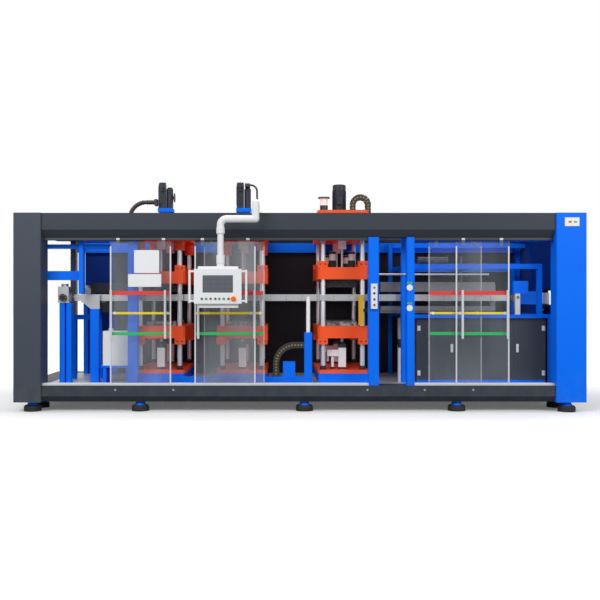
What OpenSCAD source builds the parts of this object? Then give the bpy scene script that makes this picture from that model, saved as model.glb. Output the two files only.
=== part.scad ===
// In-line sheet forming machine: three four-column presses in one portal frame.
// X runs along the sheet, -Y is the operator's side, Z is up, floor at Z = 0.

/* [Overall] */
// Length of the portal frame over the end columns
frame_length = 6600; // [6400:10:6900]
// Depth of the portal frame over the end columns
frame_depth = 2000; // [1960:10:2100]
// Height of the frame's top face
frame_top = 2300; // [2290:5:2360]
// Free length between the end columns that the places along the frame are given for
ref_length = 5935; // [5900:5:6000]
// Frame height that the working heights are given for
ref_top = 2300; // [2290:5:2310]
// How far the emergency stop stands in front of the frame
pendant_reach = 330; // [320:1:380]

/* [Frame] */
// Width of the left end columns
left_column_w = 317; // [280:1:340]
// Depth of the left end columns
left_column_d = 310; // [290:1:330]
// Width of the right end columns
right_column_w = 348; // [320:1:370]
// Depth of the right end columns
right_column_d = 215; // [200:1:240]
// Width of the left rear post
rear_post_w = 70; // [60:1:90]
// Chamfer on the upright edges of columns and posts
edge = 8; // [4:1:14]
// Beam faces lie this far behind the column faces
beam_inset = 30; // [20:1:40]
// Depth of the top and base beams
beam_depth = 240; // [220:1:250]
// Height of the upright face of the top beam
top_face = 193; // [170:1:210]
// Height of the angled face under the top beam
top_slope = 84; // [60:1:90]
// How far the angled faces run back
slope_run = 60; // [40:1:70]
// Height of the base beam's top and of the floor plate
base_top = 305; // [290:1:320]
// Height of the upright face of the base beam
base_face = 122; // [100:1:140]
// Floor plate thickness
plate_t = 12; // [6:1:20]
// Rear panel thickness
panel_t = 6; // [3:1:10]

/* [Feet] */
// Place of the first foot under the beams from the left column
foot_1_at = 1120; // [1080:10:1160]
// Place of the second foot under the beams from the left column
foot_2_at = 3040; // [3000:10:3080]
// Place of the third foot under the beams from the left column
foot_3_at = 4823; // [4783:10:4863]
// Diameter of the rubber pads
pad_d = 200; // [160:1:220]
// Height of the rubber pads
pad_h = 70; // [50:1:80]
// Diameter of the collars at the pads
collar_d = 130; // [110:1:150]
// Diameter of the collars at the beams
collar_top_d = 90; // [70:1:100]
// Height of the collars
collar_h = 45; // [30:1:55]

/* [Doors] */
// Left edge of door 1 from the left column
door_1_at = 784; // [779:1:789]
// Left edge of door 2 from the left column
door_2_at = 1763; // [1758:1:1768]
// Left edge of door 3 from the left column
door_3_at = 1867; // [1862:1:1872]
// Left edge of door 4 from the left column
door_4_at = 4482; // [4477:1:4487]
// Left edge of door 5 from the left column
door_5_at = 4790; // [4785:1:4795]
// Width of the three wide doors
door_w = 708; // [680:1:715]
// Width of the two narrow doors
narrow_w = 622; // [600:1:630]
// Thickness of the clear sheet
sheet_t = 8; // [5:1:10]
// Front face of the outer door sheet behind the column face
door_front = 70; // [66:1:74]
// Distance between the two door tracks
track_pitch = 45; // [42:1:50]
// Height of the sill track
sill_h = 20; // [12:1:26]
// Height of the guide ribs on the sill
sill_rib = 6; // [4:1:10]
// Room between a door and the sill or track that it slides along
slide_gap = 3; // [2:0.5:5]
// Width of the edge strips
strip_w = 16; // [10:1:22]
// Length of the pull handles
handle_l = 563; // [400:1:600]
// Diameter of the pull handles
handle_d = 28; // [20:1:32]
// Distance of the pull handles from the sheet
handle_off = 38; // [34:1:40]

/* [Presses] */
// Diameter of the guide columns
guide_d = 58; // [50:1:64]
// Distance between guide columns along the sheet
guide_span_x = 474; // [460:1:490]
// Middle of press 1 from the left column
station_1_at = 1313; // [1300:1:1320]
// Middle of press 2 from the left column
station_2_at = 2301; // [2290:1:2310]
// Middle of press 3 from the left column
station_3_at = 3511; // [3505:1:3520]
// Free depth between the column face and the presses
press_front = 380; // [370:1:390]
// Middles of the guide columns behind the platens' front edge
guide_in = 70; // [65:1:76]
// Running clearance round the guide columns and rods
run_gap = 0.6; // [0.4:0.1:1.2]
// Platen length along the sheet
platen_l = 610; // [600:1:640]
// Platen thickness
platen_t = 144; // [130:1:150]
// Length of the guide bosses along the sheet
boss_l = 122; // [112:1:130]
// Width of the guide bosses across the sheet
boss_w = 140; // [120:1:160]
// How far the guide bosses stand out of the platen
boss_h = 74; // [60:1:78]
// Height of the upper platens' lower face, presses 1 and 2
upper_at = 1492; // [1480:1:1500]
// Height of the upper platen's lower face, press 3
upper_high_at = 1543; // [1530:1:1550]
// Height of the lower platens' upper face
lower_at = 981; // [970:1:990]
// Thickness of the bed plates
bed_t = 40; // [30:1:50]
// Height of the sub-base beams under the beds
sub_h = 112; // [100:1:120]
// Width of the sub-base beams
sub_w = 120; // [100:1:130]
// Height of the crowns' lower face
crown_at = 2040; // [2035:1:2050]
// Crown thickness
crown_t = 100; // [80:1:110]
// Diameter of the sleeves under crowns 1 and 2
sleeve_d = 116; // [100:1:120]
// Length of the sleeves under crowns 1 and 2
sleeve_h = 150; // [120:1:160]
// Free height between crown and motor carrier of press 3
carrier_rise = 172; // [165:1:190]
// Thickness of the motor carrier over press 3
carrier_t = 60; // [50:1:70]
// Tool plate length along the sheet
tool_l = 360; // [300:1:380]
// Edge of the tool plates behind the platens' front edge
tool_in = 190; // [185:1:210]
// Thickness of the upper tool plates
upper_tool_t = 90; // [80:1:100]
// Thickness of the lower tool plates
lower_tool_t = 49; // [40:1:50]
// Diameter of the thrust rods over the upper platens
thrust_d = 30; // [24:1:36]
// Side of the thrust bodies under the crowns
thrust_body = 96; // [80:1:100]
// Length of the thrust bodies under the crowns
thrust_h = 129; // [110:1:140]
// Middles of the thrust and lift rods behind the platens' front edge
rod_in = 180; // [176:1:190]
// Diameter of the lift rods
lift_d = 40; // [30:1:46]
// Side of the lift cylinders
lift_body = 90; // [80:1:100]
// Free height between the lift cylinders and the lower platens
lift_room = 77; // [70:1:90]
// Diameter of the plug cylinders on platen 3
plug_d = 80; // [70:1:90]
// Height of the plug cylinders on platen 3
plug_h = 196; // [180:1:200]
// Distance between the plug cylinders along the sheet
plug_span = 232; // [220:1:240]

/* [Drives] */
// Side of the drive stands on crowns 1 and 2
stand_w = 150; // [130:1:160]
// Free height between the crowns and the motor flanges
flange_rise = 266; // [256:1:276]
// Side of the motor flanges
flange_w = 190; // [170:1:200]
// Thickness of the motor flanges
flange_t = 46; // [36:1:50]
// Side of the servo motors
servo_w = 92; // [80:1:94]
// Height of the servo motors
servo_h = 330; // [300:1:340]
// Diameter of the reducers beside the servo motors
reducer_d = 84; // [76:1:86]
// Height of the reducers beside the servo motors
reducer_h = 250; // [220:1:270]
// Diameter of the motor over press 3
big_motor_d = 160; // [140:1:170]
// Height of the motor over press 3
big_motor_h = 382; // [360:1:400]
// Side of the cable duct on the crowns
duct_w = 100; // [90:1:110]
// Diameter of the ribbed conduit
conduit_d = 50; // [40:1:54]
// Diameter of the pendant's feed cable conduit
feed_d = 24; // [18:1:26]
// Pitch of the cable chains' links
chain_pitch = 36; // [30:1:44]
// Thickness of the cable chains
chain_t = 74; // [64:1:76]
// Width of the cable chains
chain_w = 60; // [50:1:64]
// Middle radius of the cable chain over press 3
arch_r = 95; // [90:1:98]
// Middle radius of the cable chain on the floor rail
bend_r = 225; // [210:1:230]

/* [Sheet feed] */
// Height of the chain rails' lower edge
rail_at = 1283; // [1278:1:1288]
// Height of the chain rails
rail_h = 79; // [70:1:80]
// Width of the chain rails
rail_w = 60; // [54:1:64]
// Middles of the chain rails behind the platens' front edge
rail_in = 140; // [138:1:142]
// Depth and height of the chain groove
groove = 22; // [16:1:26]
// Start of the heaters from the left column
heater_at = 470; // [460:5:500]
// Left face of the lubrication unit from the left column
unit_at = 648; // [640:1:655]
// Free length between the left column and the rails
rail_start = 270; // [260:1:280]
// Free length between the rails and the right column
rail_end = 402; // [390:1:410]
// Diameter of the feed shafts
shaft_d = 40; // [34:1:44]
// Outer diameter of the sprockets
sprocket_d = 120; // [110:1:124]
// Number of sprocket teeth
sprocket_teeth = 12; // [10:1:14]
// Distance from a rail's end to the shaft
shaft_off = 72; // [70:1:76]
// Side of the gearbox and bearing blocks along the sheet
gearbox_w = 136; // [120:1:140]
// Depth of the gearbox and bearing blocks
gearbox_d = 140; // [120:1:150]
// Height of the gearbox and bearing blocks
gearbox_h = 193; // [180:1:200]
// Height of the heater boxes
heater_h = 118; // [100:1:120]
// Room between the heater boxes and press 1
heater_room = 68; // [50:1:90]
// Spacers between the heater boxes and the rails
heater_gap = 20; // [15:1:30]

/* [Inner frame] */
// Width of front post A, with the button station
post_a_w = 121; // [110:1:125]
// Left face of front post A from the left column
post_a_at = 3780; // [3770:1:3790]
// Width of front post B
post_b_w = 90; // [80:1:96]
// Left face of front post B from the left column
post_b_at = 4223; // [4213:1:4233]
// Width of post C behind door 1
post_c_w = 118; // [110:1:124]
// Left face of post C from the left column
post_c_at = 969; // [960:1:979]
// Depth of the front posts
post_d = 110; // [100:1:115]
// Front faces of posts A and B behind the column face
post_front = 60; // [55:1:64]
// Tube size of the bay frames
tube = 60; // [50:1:62]
// Gap left at bolted butt joints
seam = 0.2; // [0.1:0.1:0.4]
// Front of the right bay frame behind the presses' front
bay_in = 20; // [15:1:25]
// Height of the mid rail in the right bay
bay_mid_at = 1669; // [1660:1:1680]
// Height of the lower rail in the right bay
bay_low_at = 1078; // [1076:1:1085]
// Height of the lower rail's tube
bay_low_h = 42; // [38:1:44]
// Height of the floor rail
floor_rail_h = 79; // [70:1:84]

/* [Outfeed] */
// Height of the sheet outlet in the end wall
slot_h = 170; // [150:5:190]
// Height of the roller bar before the stackers
roller_bar_at = 1600; // [1590:5:1620]
// Length of the stacker rods over their cross ties
stack_rod_over = 120; // [110:5:140]
// Height of the upper stacker's lower face
stack_up_at = 1395; // [1390:1:1400]
// Thickness of the upper stacker
stack_up_t = 118; // [110:1:125]
// Height of the lower stacker's lower face
stack_low_at = 1135; // [1130:1:1140]
// Thickness of the lower stacker
stack_low_t = 84; // [70:1:90]
// Room between post A and the stackers
stack_room = 82; // [70:1:95]
// Room between the stackers and the rails' ends
stack_end = 150; // [130:1:170]
// Step of the stackers' upper and lower plates
stack_step = 30; // [20:1:36]
// Distance between the stacker rods
stack_rods = 760; // [740:1:780]

/* [Cabinet] */
// Room between the bay's left post and the cabinet
cab_left_room = 138; // [120:1:145]
// Room between the bay's right post and the cabinet
cab_right_room = 27; // [24:1:34]
// Room between the cabinet and the middle of the frame
cab_back_room = 130; // [110:1:140]
// Front of the cabinet body behind the bay frame's front
cab_in = 70; // [66:1:76]
// Free height between cabinet and lower bay rail
cab_top_room = 7; // [5:1:12]
// Cabinet wall thickness
cab_t = 12; // [8:1:16]
// Cabinet door thickness
cab_door_t = 20; // [16:1:22]
// Width of the left cabinet door
cab_left_w = 462; // [440:1:470]
// Width of the right cabinet door
cab_right_w = 380; // [360:1:390]
// Room round the cabinet doors
cab_gap = 2; // [1.5:0.5:3]

/* [Pendant] */
// Swing axis of the pendant arm from the left column
arm_at = 2477; // [2465:1:2490]
// Length of the pendant arm
arm_l = 395; // [380:1:410]
// Distance of the arm's pipe in front of the column face
arm_off = 200; // [190:1:205]
// Diameter of the arm pipe
pipe_d = 83; // [70:1:84]
// Diameter of the drop tube
drop_d = 70; // [60:1:74]
// How far the arm pipe's middle lies under the frame's top face
arm_drop = 93; // [85:1:100]
// Width of the control box front
box_w = 529; // [500:1:540]
// Height of the control box front
box_h = 388; // [370:1:400]
// Height of the control box front's lower edge
box_z = 1253; // [1245:1:1260]
// Depth of the control box
box_d = 150; // [130:1:160]
// Middle of the control box left of the drop tube
box_shift = 24; // [10:1:30]
// Screen width
screen_w = 339; // [320:1:350]
// Screen height
screen_h = 194; // [180:1:200]
// Diameter of the emergency stop
stop_d = 52; // [40:1:56]
// Travel left behind the emergency stop
stop_travel = 6; // [5:1:8]
// Diameter of the push buttons
button_d = 30; // [24:1:34]

/* [Hidden] */
$fn = 48;

charcoal = [0.28, 0.30, 0.34];
azure = [0.0, 0.44, 0.97];
orange = [1.0, 0.33, 0.10];
chrome = [0.9, 0.9, 0.92];
steel = [0.65, 0.66, 0.68];
black = [0.08, 0.08, 0.09];
white = [0.95, 0.95, 0.96];
green = [0.1, 0.6, 0.25];

// cuts run this far past the faces that they open
cut = 1;

front_y = -(frame_depth + pendant_reach) / 2 + pendant_reach;
mid_y = front_y + frame_depth / 2;
left_x = -frame_length / 2;
right_x = frame_length / 2;
inner_l = left_x + left_column_w;
inner_r = right_x - right_column_w;
base_z = pad_h + collar_h;
beam_back = beam_inset + beam_depth;
top_low = frame_top - top_face;
top_under = top_low - top_slope;
panel_back = frame_depth - beam_back;
panel_front = panel_back - panel_t;
panel_x = inner_l + 540;

// A place along the frame, given for the reference length
function along(x) = inner_l + x * (inner_r - inner_l) / ref_length;

// A height over the floor plate, given for the reference height
function up(z) = base_top + (z - base_top) * (frame_top - base_top) / (ref_top - base_top);

// presses
station_x = [along(station_1_at), along(station_2_at), along(station_3_at)];
upper_z = [up(upper_at), up(upper_at), up(upper_high_at)];
lower_top = up(lower_at);
crown_z = up(crown_at);
platen_w = frame_depth - 2 * press_front;
guide_span_y = platen_w - 2 * guide_in;
tool_w = platen_w - 2 * tool_in;
rod_span = platen_w - 2 * rod_in;
bed_top = base_top + sub_h + bed_t;
crown_top = crown_z + crown_t;
carrier_z = crown_top + carrier_rise;
flange_z = crown_top + flange_rise;
lift_h = lower_top - platen_t - lift_room - bed_top;
carrier_top = carrier_z + carrier_t;
flange_top = flange_z + flange_t;
duct_top = crown_top + duct_w;
function press_left(i) = station_x[i] - platen_l / 2;
function guide_places() = [for (sx = [-1, 1]) for (sy = [-1, 1])
    [sx * guide_span_x / 2, sy * guide_span_y / 2]];
function rod_places() = [for (sy = [-1, 1]) [0, sy * rod_span / 2]];

// sheet feed
rail_z = up(rail_at);
rail_top = rail_z + rail_h;
rail_x0 = along(rail_start);
rail_x1 = inner_r - rail_end;
rail_y = platen_w / 2 - rail_in;
rail_front = press_front + rail_in - rail_w / 2;
shaft_z = rail_z + rail_h / 2;
shaft_over = 80;
shaft_end = frame_depth / 2 - rail_y - shaft_over;
gearbox_low = shaft_z - 62;
gearbox_front = press_front - 50;
bearing_top = shaft_z + 48;

// posts and the right bay
post_a_x = along(post_a_at);
post_b_x = along(post_b_at);
post_c_x = along(post_c_at);
post_back = post_front + post_d;
bay_front = press_front + bay_in;
bay_back = bay_front + tube;
bay_left = post_b_x - 13;
bay_post = bay_left + 55;
bay_right = inner_r + 105;
bay_low = up(bay_low_at);
bay_mid = up(bay_mid_at);
bay_low_top = bay_low + bay_low_h;
bay_top = top_under + 26;
stack_up_z = up(stack_up_at);
stack_low_z = up(stack_low_at);
stack_x = post_a_x + post_a_w + stack_room;
stack_l = rail_x1 - stack_end - stack_x;
stack_rod_low = base_top + 300;
function stacker_rod_x() = [for (s = [-1, 1]) stack_x + stack_l / 2 + s * stack_rods / 2];

// stand at the end of the floor rail
floor_rail_top = base_top + floor_rail_h;
floor_rail_end = press_left(2) - 69;
floor_rail_in = beam_back + 20;
floor_rail_w = 80;
rail_stand_w = 94;
rail_stand_x = floor_rail_end - rail_stand_w;
rail_stand_top = 911;

// lubrication unit
unit_x = along(unit_at);
unit_w = press_left(0) - 43 - unit_x;
unit_front = 310;
unit_d = 240;
unit_h = 408;
shelf_z = 490;
shelf_t = 26;
shelf_over = 11;

// post beside the unit that carries the rail bracket
feed_post_w = 108;
feed_post_x = unit_x - 60 - feed_post_w;
feed_post_top = rail_z - 96;

// doors: left edge, width, track number, handles' distances from the left edge
doors = [
    [along(door_1_at), door_w, 0, [17, door_w - 65]],
    [along(door_2_at), door_w, 0, [46, door_w - 14]],
    [along(door_3_at), door_w, 1, []],
    [along(door_4_at), narrow_w, 1, []],
    [along(door_5_at), narrow_w, 0, [72, narrow_w - 28]]
];
door_low = base_top + sill_h + sill_rib + slide_gap;
door_high = top_under - 36;
sheet_high = door_high - 16;
handle_z = 847;
function door_depth(i) = door_front + doors[i][2] * track_pitch;

// cabinet
cab_x = bay_post + cab_left_room;
cab_w = bay_right - tube - cab_right_room - cab_x;
cab_front = bay_front + cab_in;
cab_d = frame_depth / 2 - cab_back_room - cab_front;
cab_face = cab_front - cab_door_t;
plinth_top = base_top + sill_h + sill_rib + 2;
cab_h = bay_low - base_top - cab_top_room;
cab_top = base_top + cab_h;

// button station on post A
station_mid = post_a_x + post_a_w / 2;
station_z = [1437, 1372, 1302, 1237];
station_w = 76;
station_d = 45;
station_over = 45;
button_out = 12;

// pendant
arm_x = along(arm_at);
arm_y = front_y - arm_off;
arm_z = frame_top - arm_drop;
drop_x = arm_x - arm_l;
swivel_h = 62;
swivel_gap = 0.5;
collar_over = 14;
collar_l = 40;
drop_low = 60;
box_mid = drop_x - box_shift;
box_front = front_y - pendant_reach + 28;
box_top = box_z + box_h;
box_face_t = 40;
box_back_over = 30;
box_back_under = 46;
screen_low = box_z + 123;
screen_pocket = 6;
button_row = [-177, -129, -79, -26, 18, 68, 120];
row_z = box_z + 55;
stop_x = box_mid + 175;
stop_stem = 24;
stop_head = stop_travel + 4;
stop_root = 10;

// drives
rib_out = 5;
reducer_cap = 18;
servo_left = servo_w + rib_out;
reducer_mid = reducer_d / 2 + rib_out;
duct_mid = mid_y - stand_w / 2 - duct_w / 2;
link_gap = 4;

// A block given by its low corner behind the column face and its high corner
module block(x0, x1, d0, d1, z0, z1) {
    translate([x0, front_y + d0, z0]) cube([x1 - x0, d1 - d0, z1 - z0]);
}

// The same block and its twin on the rear side of the frame
module twin(x0, x1, d0, d1, z0, z1) {
    block(x0, x1, d0, d1, z0, z1);
    block(x0, x1, frame_depth - d1, frame_depth - d0, z0, z1);
}

// An upright of rectangular section with chamfered edges
module upright(x0, x1, d0, d1, z0, z1) {
    w = x1 - x0;
    d = d1 - d0;
    translate([x0, front_y + d0, z0]) linear_extrude(z1 - z0) polygon([
        [edge, 0], [w - edge, 0], [w, edge], [w, d - edge],
        [w - edge, d], [edge, d], [0, d - edge], [0, edge]]);
}

// A beam along X, its section drawn in depth and height
module along_x(x0, x1, section) {
    translate([x0, front_y, 0]) rotate([90, 0, 90]) linear_extrude(x1 - x0) polygon(section);
}

// A plate across the frame, its outline drawn along the frame and in height
module across_y(d0, d1, outline) {
    translate([0, front_y + d1, 0]) rotate([90, 0, 0]) linear_extrude(d1 - d0) polygon(outline);
}

// Copies a shape to the rear side of the frame
module both_sides() {
    children();
    translate([0, 2 * mid_y, 0]) mirror([0, 1, 0]) children();
}

// A round bar along X at a depth behind the column face
module long_bar(x0, x1, depth, z, d) {
    translate([x0, front_y + depth, z]) rotate([0, 90, 0]) cylinder(h = x1 - x0, d = d);
}

// A round bar along Y
module cross_bar(x, d0, d1, z, d) {
    translate([x, front_y + d0, z]) rotate([-90, 0, 0]) cylinder(h = d1 - d0, d = d);
}

// A round bar along Z at a depth behind the column face
module pillar(x, depth, z0, z1, d) {
    translate([x, front_y + depth, z0]) cylinder(h = z1 - z0, d = d);
}

// Bent pipe in the plane of X and Z, turning from -X or +X to down
module elbow(r, d) {
    rotate([90, 0, 0]) rotate_extrude(angle = 90) translate([r, 0]) circle(d = d);
}

// Clad front column and the slim rear post of the infeed end
module left_columns() {
    post_x = left_x + 206;
    post_depth = 140;
    rear = frame_depth - beam_inset;
    color(charcoal) {
        upright(left_x, inner_l, 0, left_column_d, base_z, frame_top);
        upright(post_x, post_x + rear_post_w, rear - post_depth, rear, base_top, top_low);
    }
}

module right_columns() {
    color(azure) both_sides() upright(inner_r, right_x, 0, right_column_d, base_z, frame_top);
}

module top_beams() {
    color(charcoal) {
        both_sides() along_x(inner_l, inner_r, [
            [beam_inset, frame_top], [beam_inset, top_low], [beam_inset + slope_run, top_under],
            [beam_back, top_under], [beam_back, frame_top]]);
        block(left_x, inner_l - seam, left_column_d, frame_depth - beam_inset, top_low, frame_top);
        block(inner_r + seam, right_x, right_column_d, frame_depth - right_column_d, top_low, frame_top);
    }
}

module base_beams() {
    face_low = base_top - base_face;
    color(charcoal) {
        both_sides() along_x(inner_l, inner_r, [
            [beam_inset, base_top], [beam_inset, face_low], [beam_inset + slope_run, base_z],
            [beam_back, base_z], [beam_back, base_top]]);
        block(left_x, inner_l - seam, left_column_d, frame_depth - beam_inset, base_z, base_top);
        block(inner_r + seam, right_x, right_column_d, frame_depth - right_column_d, base_z, base_top);
    }
}

module floor_plate() {
    color([0.75, 0.76, 0.78])
        block(inner_l, inner_r, beam_back, panel_back, base_top - plate_t, base_top);
}

// Places its children under each levelling point
module at_feet() {
    beam_foot = beam_inset + (beam_depth + slope_run) / 2;
    end_foot = 500;
    shift = 23;
    for (x = [foot_1_at, foot_2_at, foot_3_at]) for (d = [beam_foot, frame_depth - beam_foot])
        translate([along(x), front_y + d, 0]) children();
    for (d = [left_column_d / 2, end_foot, frame_depth - end_foot, frame_depth - left_column_d / 2])
        translate([left_x + left_column_w / 2 + shift, front_y + d, 0]) children();
    for (d = [right_column_d / 2, end_foot, frame_depth - end_foot, frame_depth - right_column_d / 2])
        translate([right_x - right_column_w / 2 - shift, front_y + d, 0]) children();
}

module foot_pads() {
    round_r = 24;
    color(black) at_feet() rotate_extrude() union() {
        square([pad_d / 2 - round_r, pad_h]);
        square([pad_d / 2, pad_h - round_r]);
        translate([pad_d / 2 - round_r, pad_h - round_r]) intersection() {
            circle(round_r);
            square(round_r);
        }
    }
}

module foot_collars() {
    color(azure) at_feet() translate([0, 0, pad_h])
        cylinder(h = collar_h, d1 = collar_d, d2 = collar_top_d);
}

// Hanger track over one door row: flange, web and the lip that the rollers run on
module hanger_track(x0, x1, d) {
    web = d + sheet_t + 23;
    t = 4;
    lip = 17;
    flange = 24;
    lip_z = door_high + 1;
    along_x(x0, x1, [
        [web - lip, lip_z], [web + t, lip_z], [web + t, top_under - t], [web + flange, top_under - t],
        [web + flange, top_under], [web, top_under], [web, lip_z + t], [web - lip, lip_z + t]]);
}

// Sill with one upright rib under each door row
module sill_track(x0, x1) {
    before = 14;
    behind = 22;
    rib_in = 2;
    rib_t = 4;
    sill_z = base_top + sill_h;
    along_x(x0, x1, concat(
        [[door_front - before, base_top], [door_front - before, sill_z]],
        [for (t = [0, 1]) for (p = [[0, 0], [0, 1], [1, 1], [1, 0]])
            [door_front + t * track_pitch + rib_in + p[0] * rib_t, sill_z + p[1] * sill_rib]],
        [[door_front + track_pitch + behind, sill_z], [door_front + track_pitch + behind, base_top]]));
}

module door_tracks() {
    spans = [[inner_l, post_a_x], [post_b_x + post_b_w, inner_r]];
    color([0.82, 0.83, 0.85]) for (s = spans) {
        for (t = [0, 1]) hanger_track(s[0] + seam, s[1] - seam, door_front + t * track_pitch);
        sill_track(s[0] + seam, s[1] - seam);
    }
}

// Posts, rails and ties round the outfeed
module bay_frame() {
    leg_w = 55;
    leg_x = bay_right - 197;
    both_sides() {
        upright(bay_left, bay_post, bay_front, bay_back, base_top, bay_top);
        block(bay_post + seam, bay_right, bay_front, bay_back, bay_top - tube, bay_top);
        block(bay_post + seam, leg_x + leg_w, bay_front, bay_back, bay_mid, bay_mid + tube);
        block(bay_post + seam, bay_right, bay_front, bay_back, bay_low, bay_low_top);
        block(leg_x, leg_x + leg_w, bay_front, bay_back, bay_low_top + seam, bay_mid - seam);
        block(bay_right - tube, bay_right, bay_front, bay_back, base_top, bay_low - seam);
    }
    // cross ties that guide the stacker rods
    for (x = stacker_rod_x()) difference() {
        block(x - tube / 2, x + tube / 2, bay_back + seam, frame_depth - bay_back - seam, bay_mid,
            bay_mid + tube);
        pillar(x, frame_depth / 2, bay_mid - cut, bay_mid + tube + cut, thrust_d + 2 * run_gap);
    }
    // end wall with the sheet outlet, and the cover over the outfeed shaft's front bearing
    for (z = [[base_top, shaft_z - slot_h / 2], [shaft_z + slot_h / 2, top_low]])
        block(bay_right + seam, bay_right + panel_t, right_column_d + seam,
            frame_depth - right_column_d - seam, z[0], z[1]);
    block(rail_x1 + shaft_off - 50, rail_x1 + shaft_off + 125, bay_front, bay_back, bearing_top + seam,
        bearing_top + 152);
    // tie that carries the end motor
    block(bay_right - tube, bay_right, bay_back + seam, frame_depth - bay_back - seam, bay_low, bay_low_top);
}

// Stands under the gearboxes and rails, hanging post and rails of the infeed
module infeed_frame() {
    stand_x = rail_x0 - 144;
    stand_w = 64;
    stand_pitch = 79;
    hang_x = inner_l + 384;
    hang_w = 58;
    hang_back = left_column_d;
    hang_at = 1365;
    hang_low = up(hang_at);
    upper_rail = [frame_top - 400, frame_top - 349];
    plate_at = 1528;
    plate_h = 110;
    plate_z = [up(plate_at), up(plate_at + plate_h)];
    both_sides() {
        for (i = [0, 1]) upright(stand_x + i * stand_pitch, stand_x + i * stand_pitch + stand_w,
            gearbox_front + 10, gearbox_front + 90, base_top, gearbox_low);
        upright(feed_post_x, feed_post_x + feed_post_w, rail_front - 90, rail_front - 10, base_top,
            feed_post_top);
    }
    block(inner_l, hang_x - seam, hang_back - tube, hang_back, upper_rail[0], upper_rail[1]);
    block(inner_l, hang_x - seam, hang_back - 20, hang_back, plate_z[0], plate_z[1]);
    upright(hang_x, hang_x + hang_w, beam_back - tube, beam_back, hang_low, top_under);
    block(hang_x, hang_x + hang_w, beam_back + seam, hang_back, hang_low, upper_rail[1]);
    block(hang_x + hang_w + seam, hang_x + 366, hang_back - tube, hang_back, upper_rail[0], upper_rail[1]);
    // wall panel behind the infeed
    block(inner_l + 120, panel_x - seam, panel_front, panel_back, base_top, top_low);
    // sheet support stand
    support_x = [inner_l + 140, inner_l + 461];
    support_d = frame_depth / 2 - 130;
    support_z = [rail_z - 233, rail_z - 174];
    for (x = support_x) block(x, x + tube, support_d, support_d + tube, base_top, support_z[0] - seam);
    block(support_x[0], support_x[1] + tube, support_d, support_d + tube, support_z[0], support_z[1]);
}

// Blue posts, stands and bay frames
module inner_frame() {
    post_c_front = 180;
    shelf_leg = 45;
    box_x = rail_stand_x - 252;
    box_w = 144;
    box_h = 179;
    rear_rail = [top_under - 89, top_under + 37];
    rear_rail_d = 80;
    rear_rail_in = 30;
    color(azure) {
        both_sides() {
            upright(post_a_x, post_a_x + post_a_w, post_front, post_back, base_top, top_under);
            upright(post_b_x, post_b_x + post_b_w, post_front, post_back, base_top, top_under);
            upright(post_c_x, post_c_x + post_c_w, post_c_front, beam_back, base_top, top_under);
        }
        bay_frame();
        infeed_frame();
        // lubrication shelf
        for (x = [unit_x, unit_x + unit_w - shelf_leg])
            block(x, x + shelf_leg, unit_front, unit_front + unit_d, base_top, shelf_z - seam);
        block(unit_x - shelf_over, unit_x + unit_w + shelf_over, unit_front - shelf_over,
            unit_front + unit_d + shelf_over, shelf_z, shelf_z + shelf_t);
        // floor rail with its box and rail stand
        block(station_x[0] + 110, floor_rail_end, floor_rail_in, floor_rail_in + floor_rail_w,
            base_top, floor_rail_top);
        block(box_x, box_x + box_w, floor_rail_in + 10, floor_rail_in + floor_rail_w - 5,
            floor_rail_top + seam, floor_rail_top + box_h);
        upright(rail_stand_x, floor_rail_end, floor_rail_in, floor_rail_in + floor_rail_w,
            floor_rail_top + seam, rail_stand_top);
        // plinth under the cabinet's doors
        block(cab_x, cab_x + cab_w, cab_face, cab_front - seam, base_top, plinth_top);
        // upper rear rail on the panels
        block(inner_l + rear_rail_in, inner_r - rear_rail_in, panel_front - rear_rail_d, panel_front - seam,
            rear_rail[0], rear_rail[1]);
    }
}

module rear_panels() {
    count = 4;
    w = (inner_r - panel_x) / count;
    color([0.07, 0.09, 0.16]) for (i = [0 : count - 1])
        block(panel_x + i * w, panel_x + (i + 1) * w - seam, panel_front, panel_back, base_top, top_low);
}

// Section of the front chain rail, open towards the sheet
function rail_section() = let(d0 = rail_front, d1 = d0 + rail_w, low = shaft_z - groove / 2,
    high = low + groove) [
    [d0, rail_z], [d1, rail_z], [d1, low], [d1 - groove, low],
    [d1 - groove, high], [d1, high], [d1, rail_top], [d0, rail_top]];

module chain_rails() {
    guide_depth = press_front + guide_in;
    clamp_x = 42;
    clamp_in = 7;
    clamp_wall = 14;
    bracket_x = feed_post_x - 113;
    bracket_end = feed_post_x + feed_post_w;
    bracket_d = 60;
    color(steel) both_sides() {
        along_x(rail_x0, rail_x1, rail_section());
        // clamps round the guide columns
        for (x = station_x) for (s = [-1, 1]) difference() {
            block(x + s * guide_span_x / 2 - clamp_x, x + s * guide_span_x / 2 + clamp_x,
                guide_depth - guide_d / 2 - clamp_wall, rail_front - seam, rail_z + clamp_in,
                    rail_top - clamp_in);
            pillar(x + s * guide_span_x / 2, guide_depth, rail_z, rail_top, guide_d + seam);
        }
        // bracket on the infeed post
        across_y(rail_front - bracket_d, rail_front - seam, [
            [bracket_x, rail_z], [feed_post_x, feed_post_top], [bracket_end, feed_post_top],
            [bracket_end, rail_top - clamp_in], [bracket_x, rail_top - clamp_in]]);
    }
}

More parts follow.
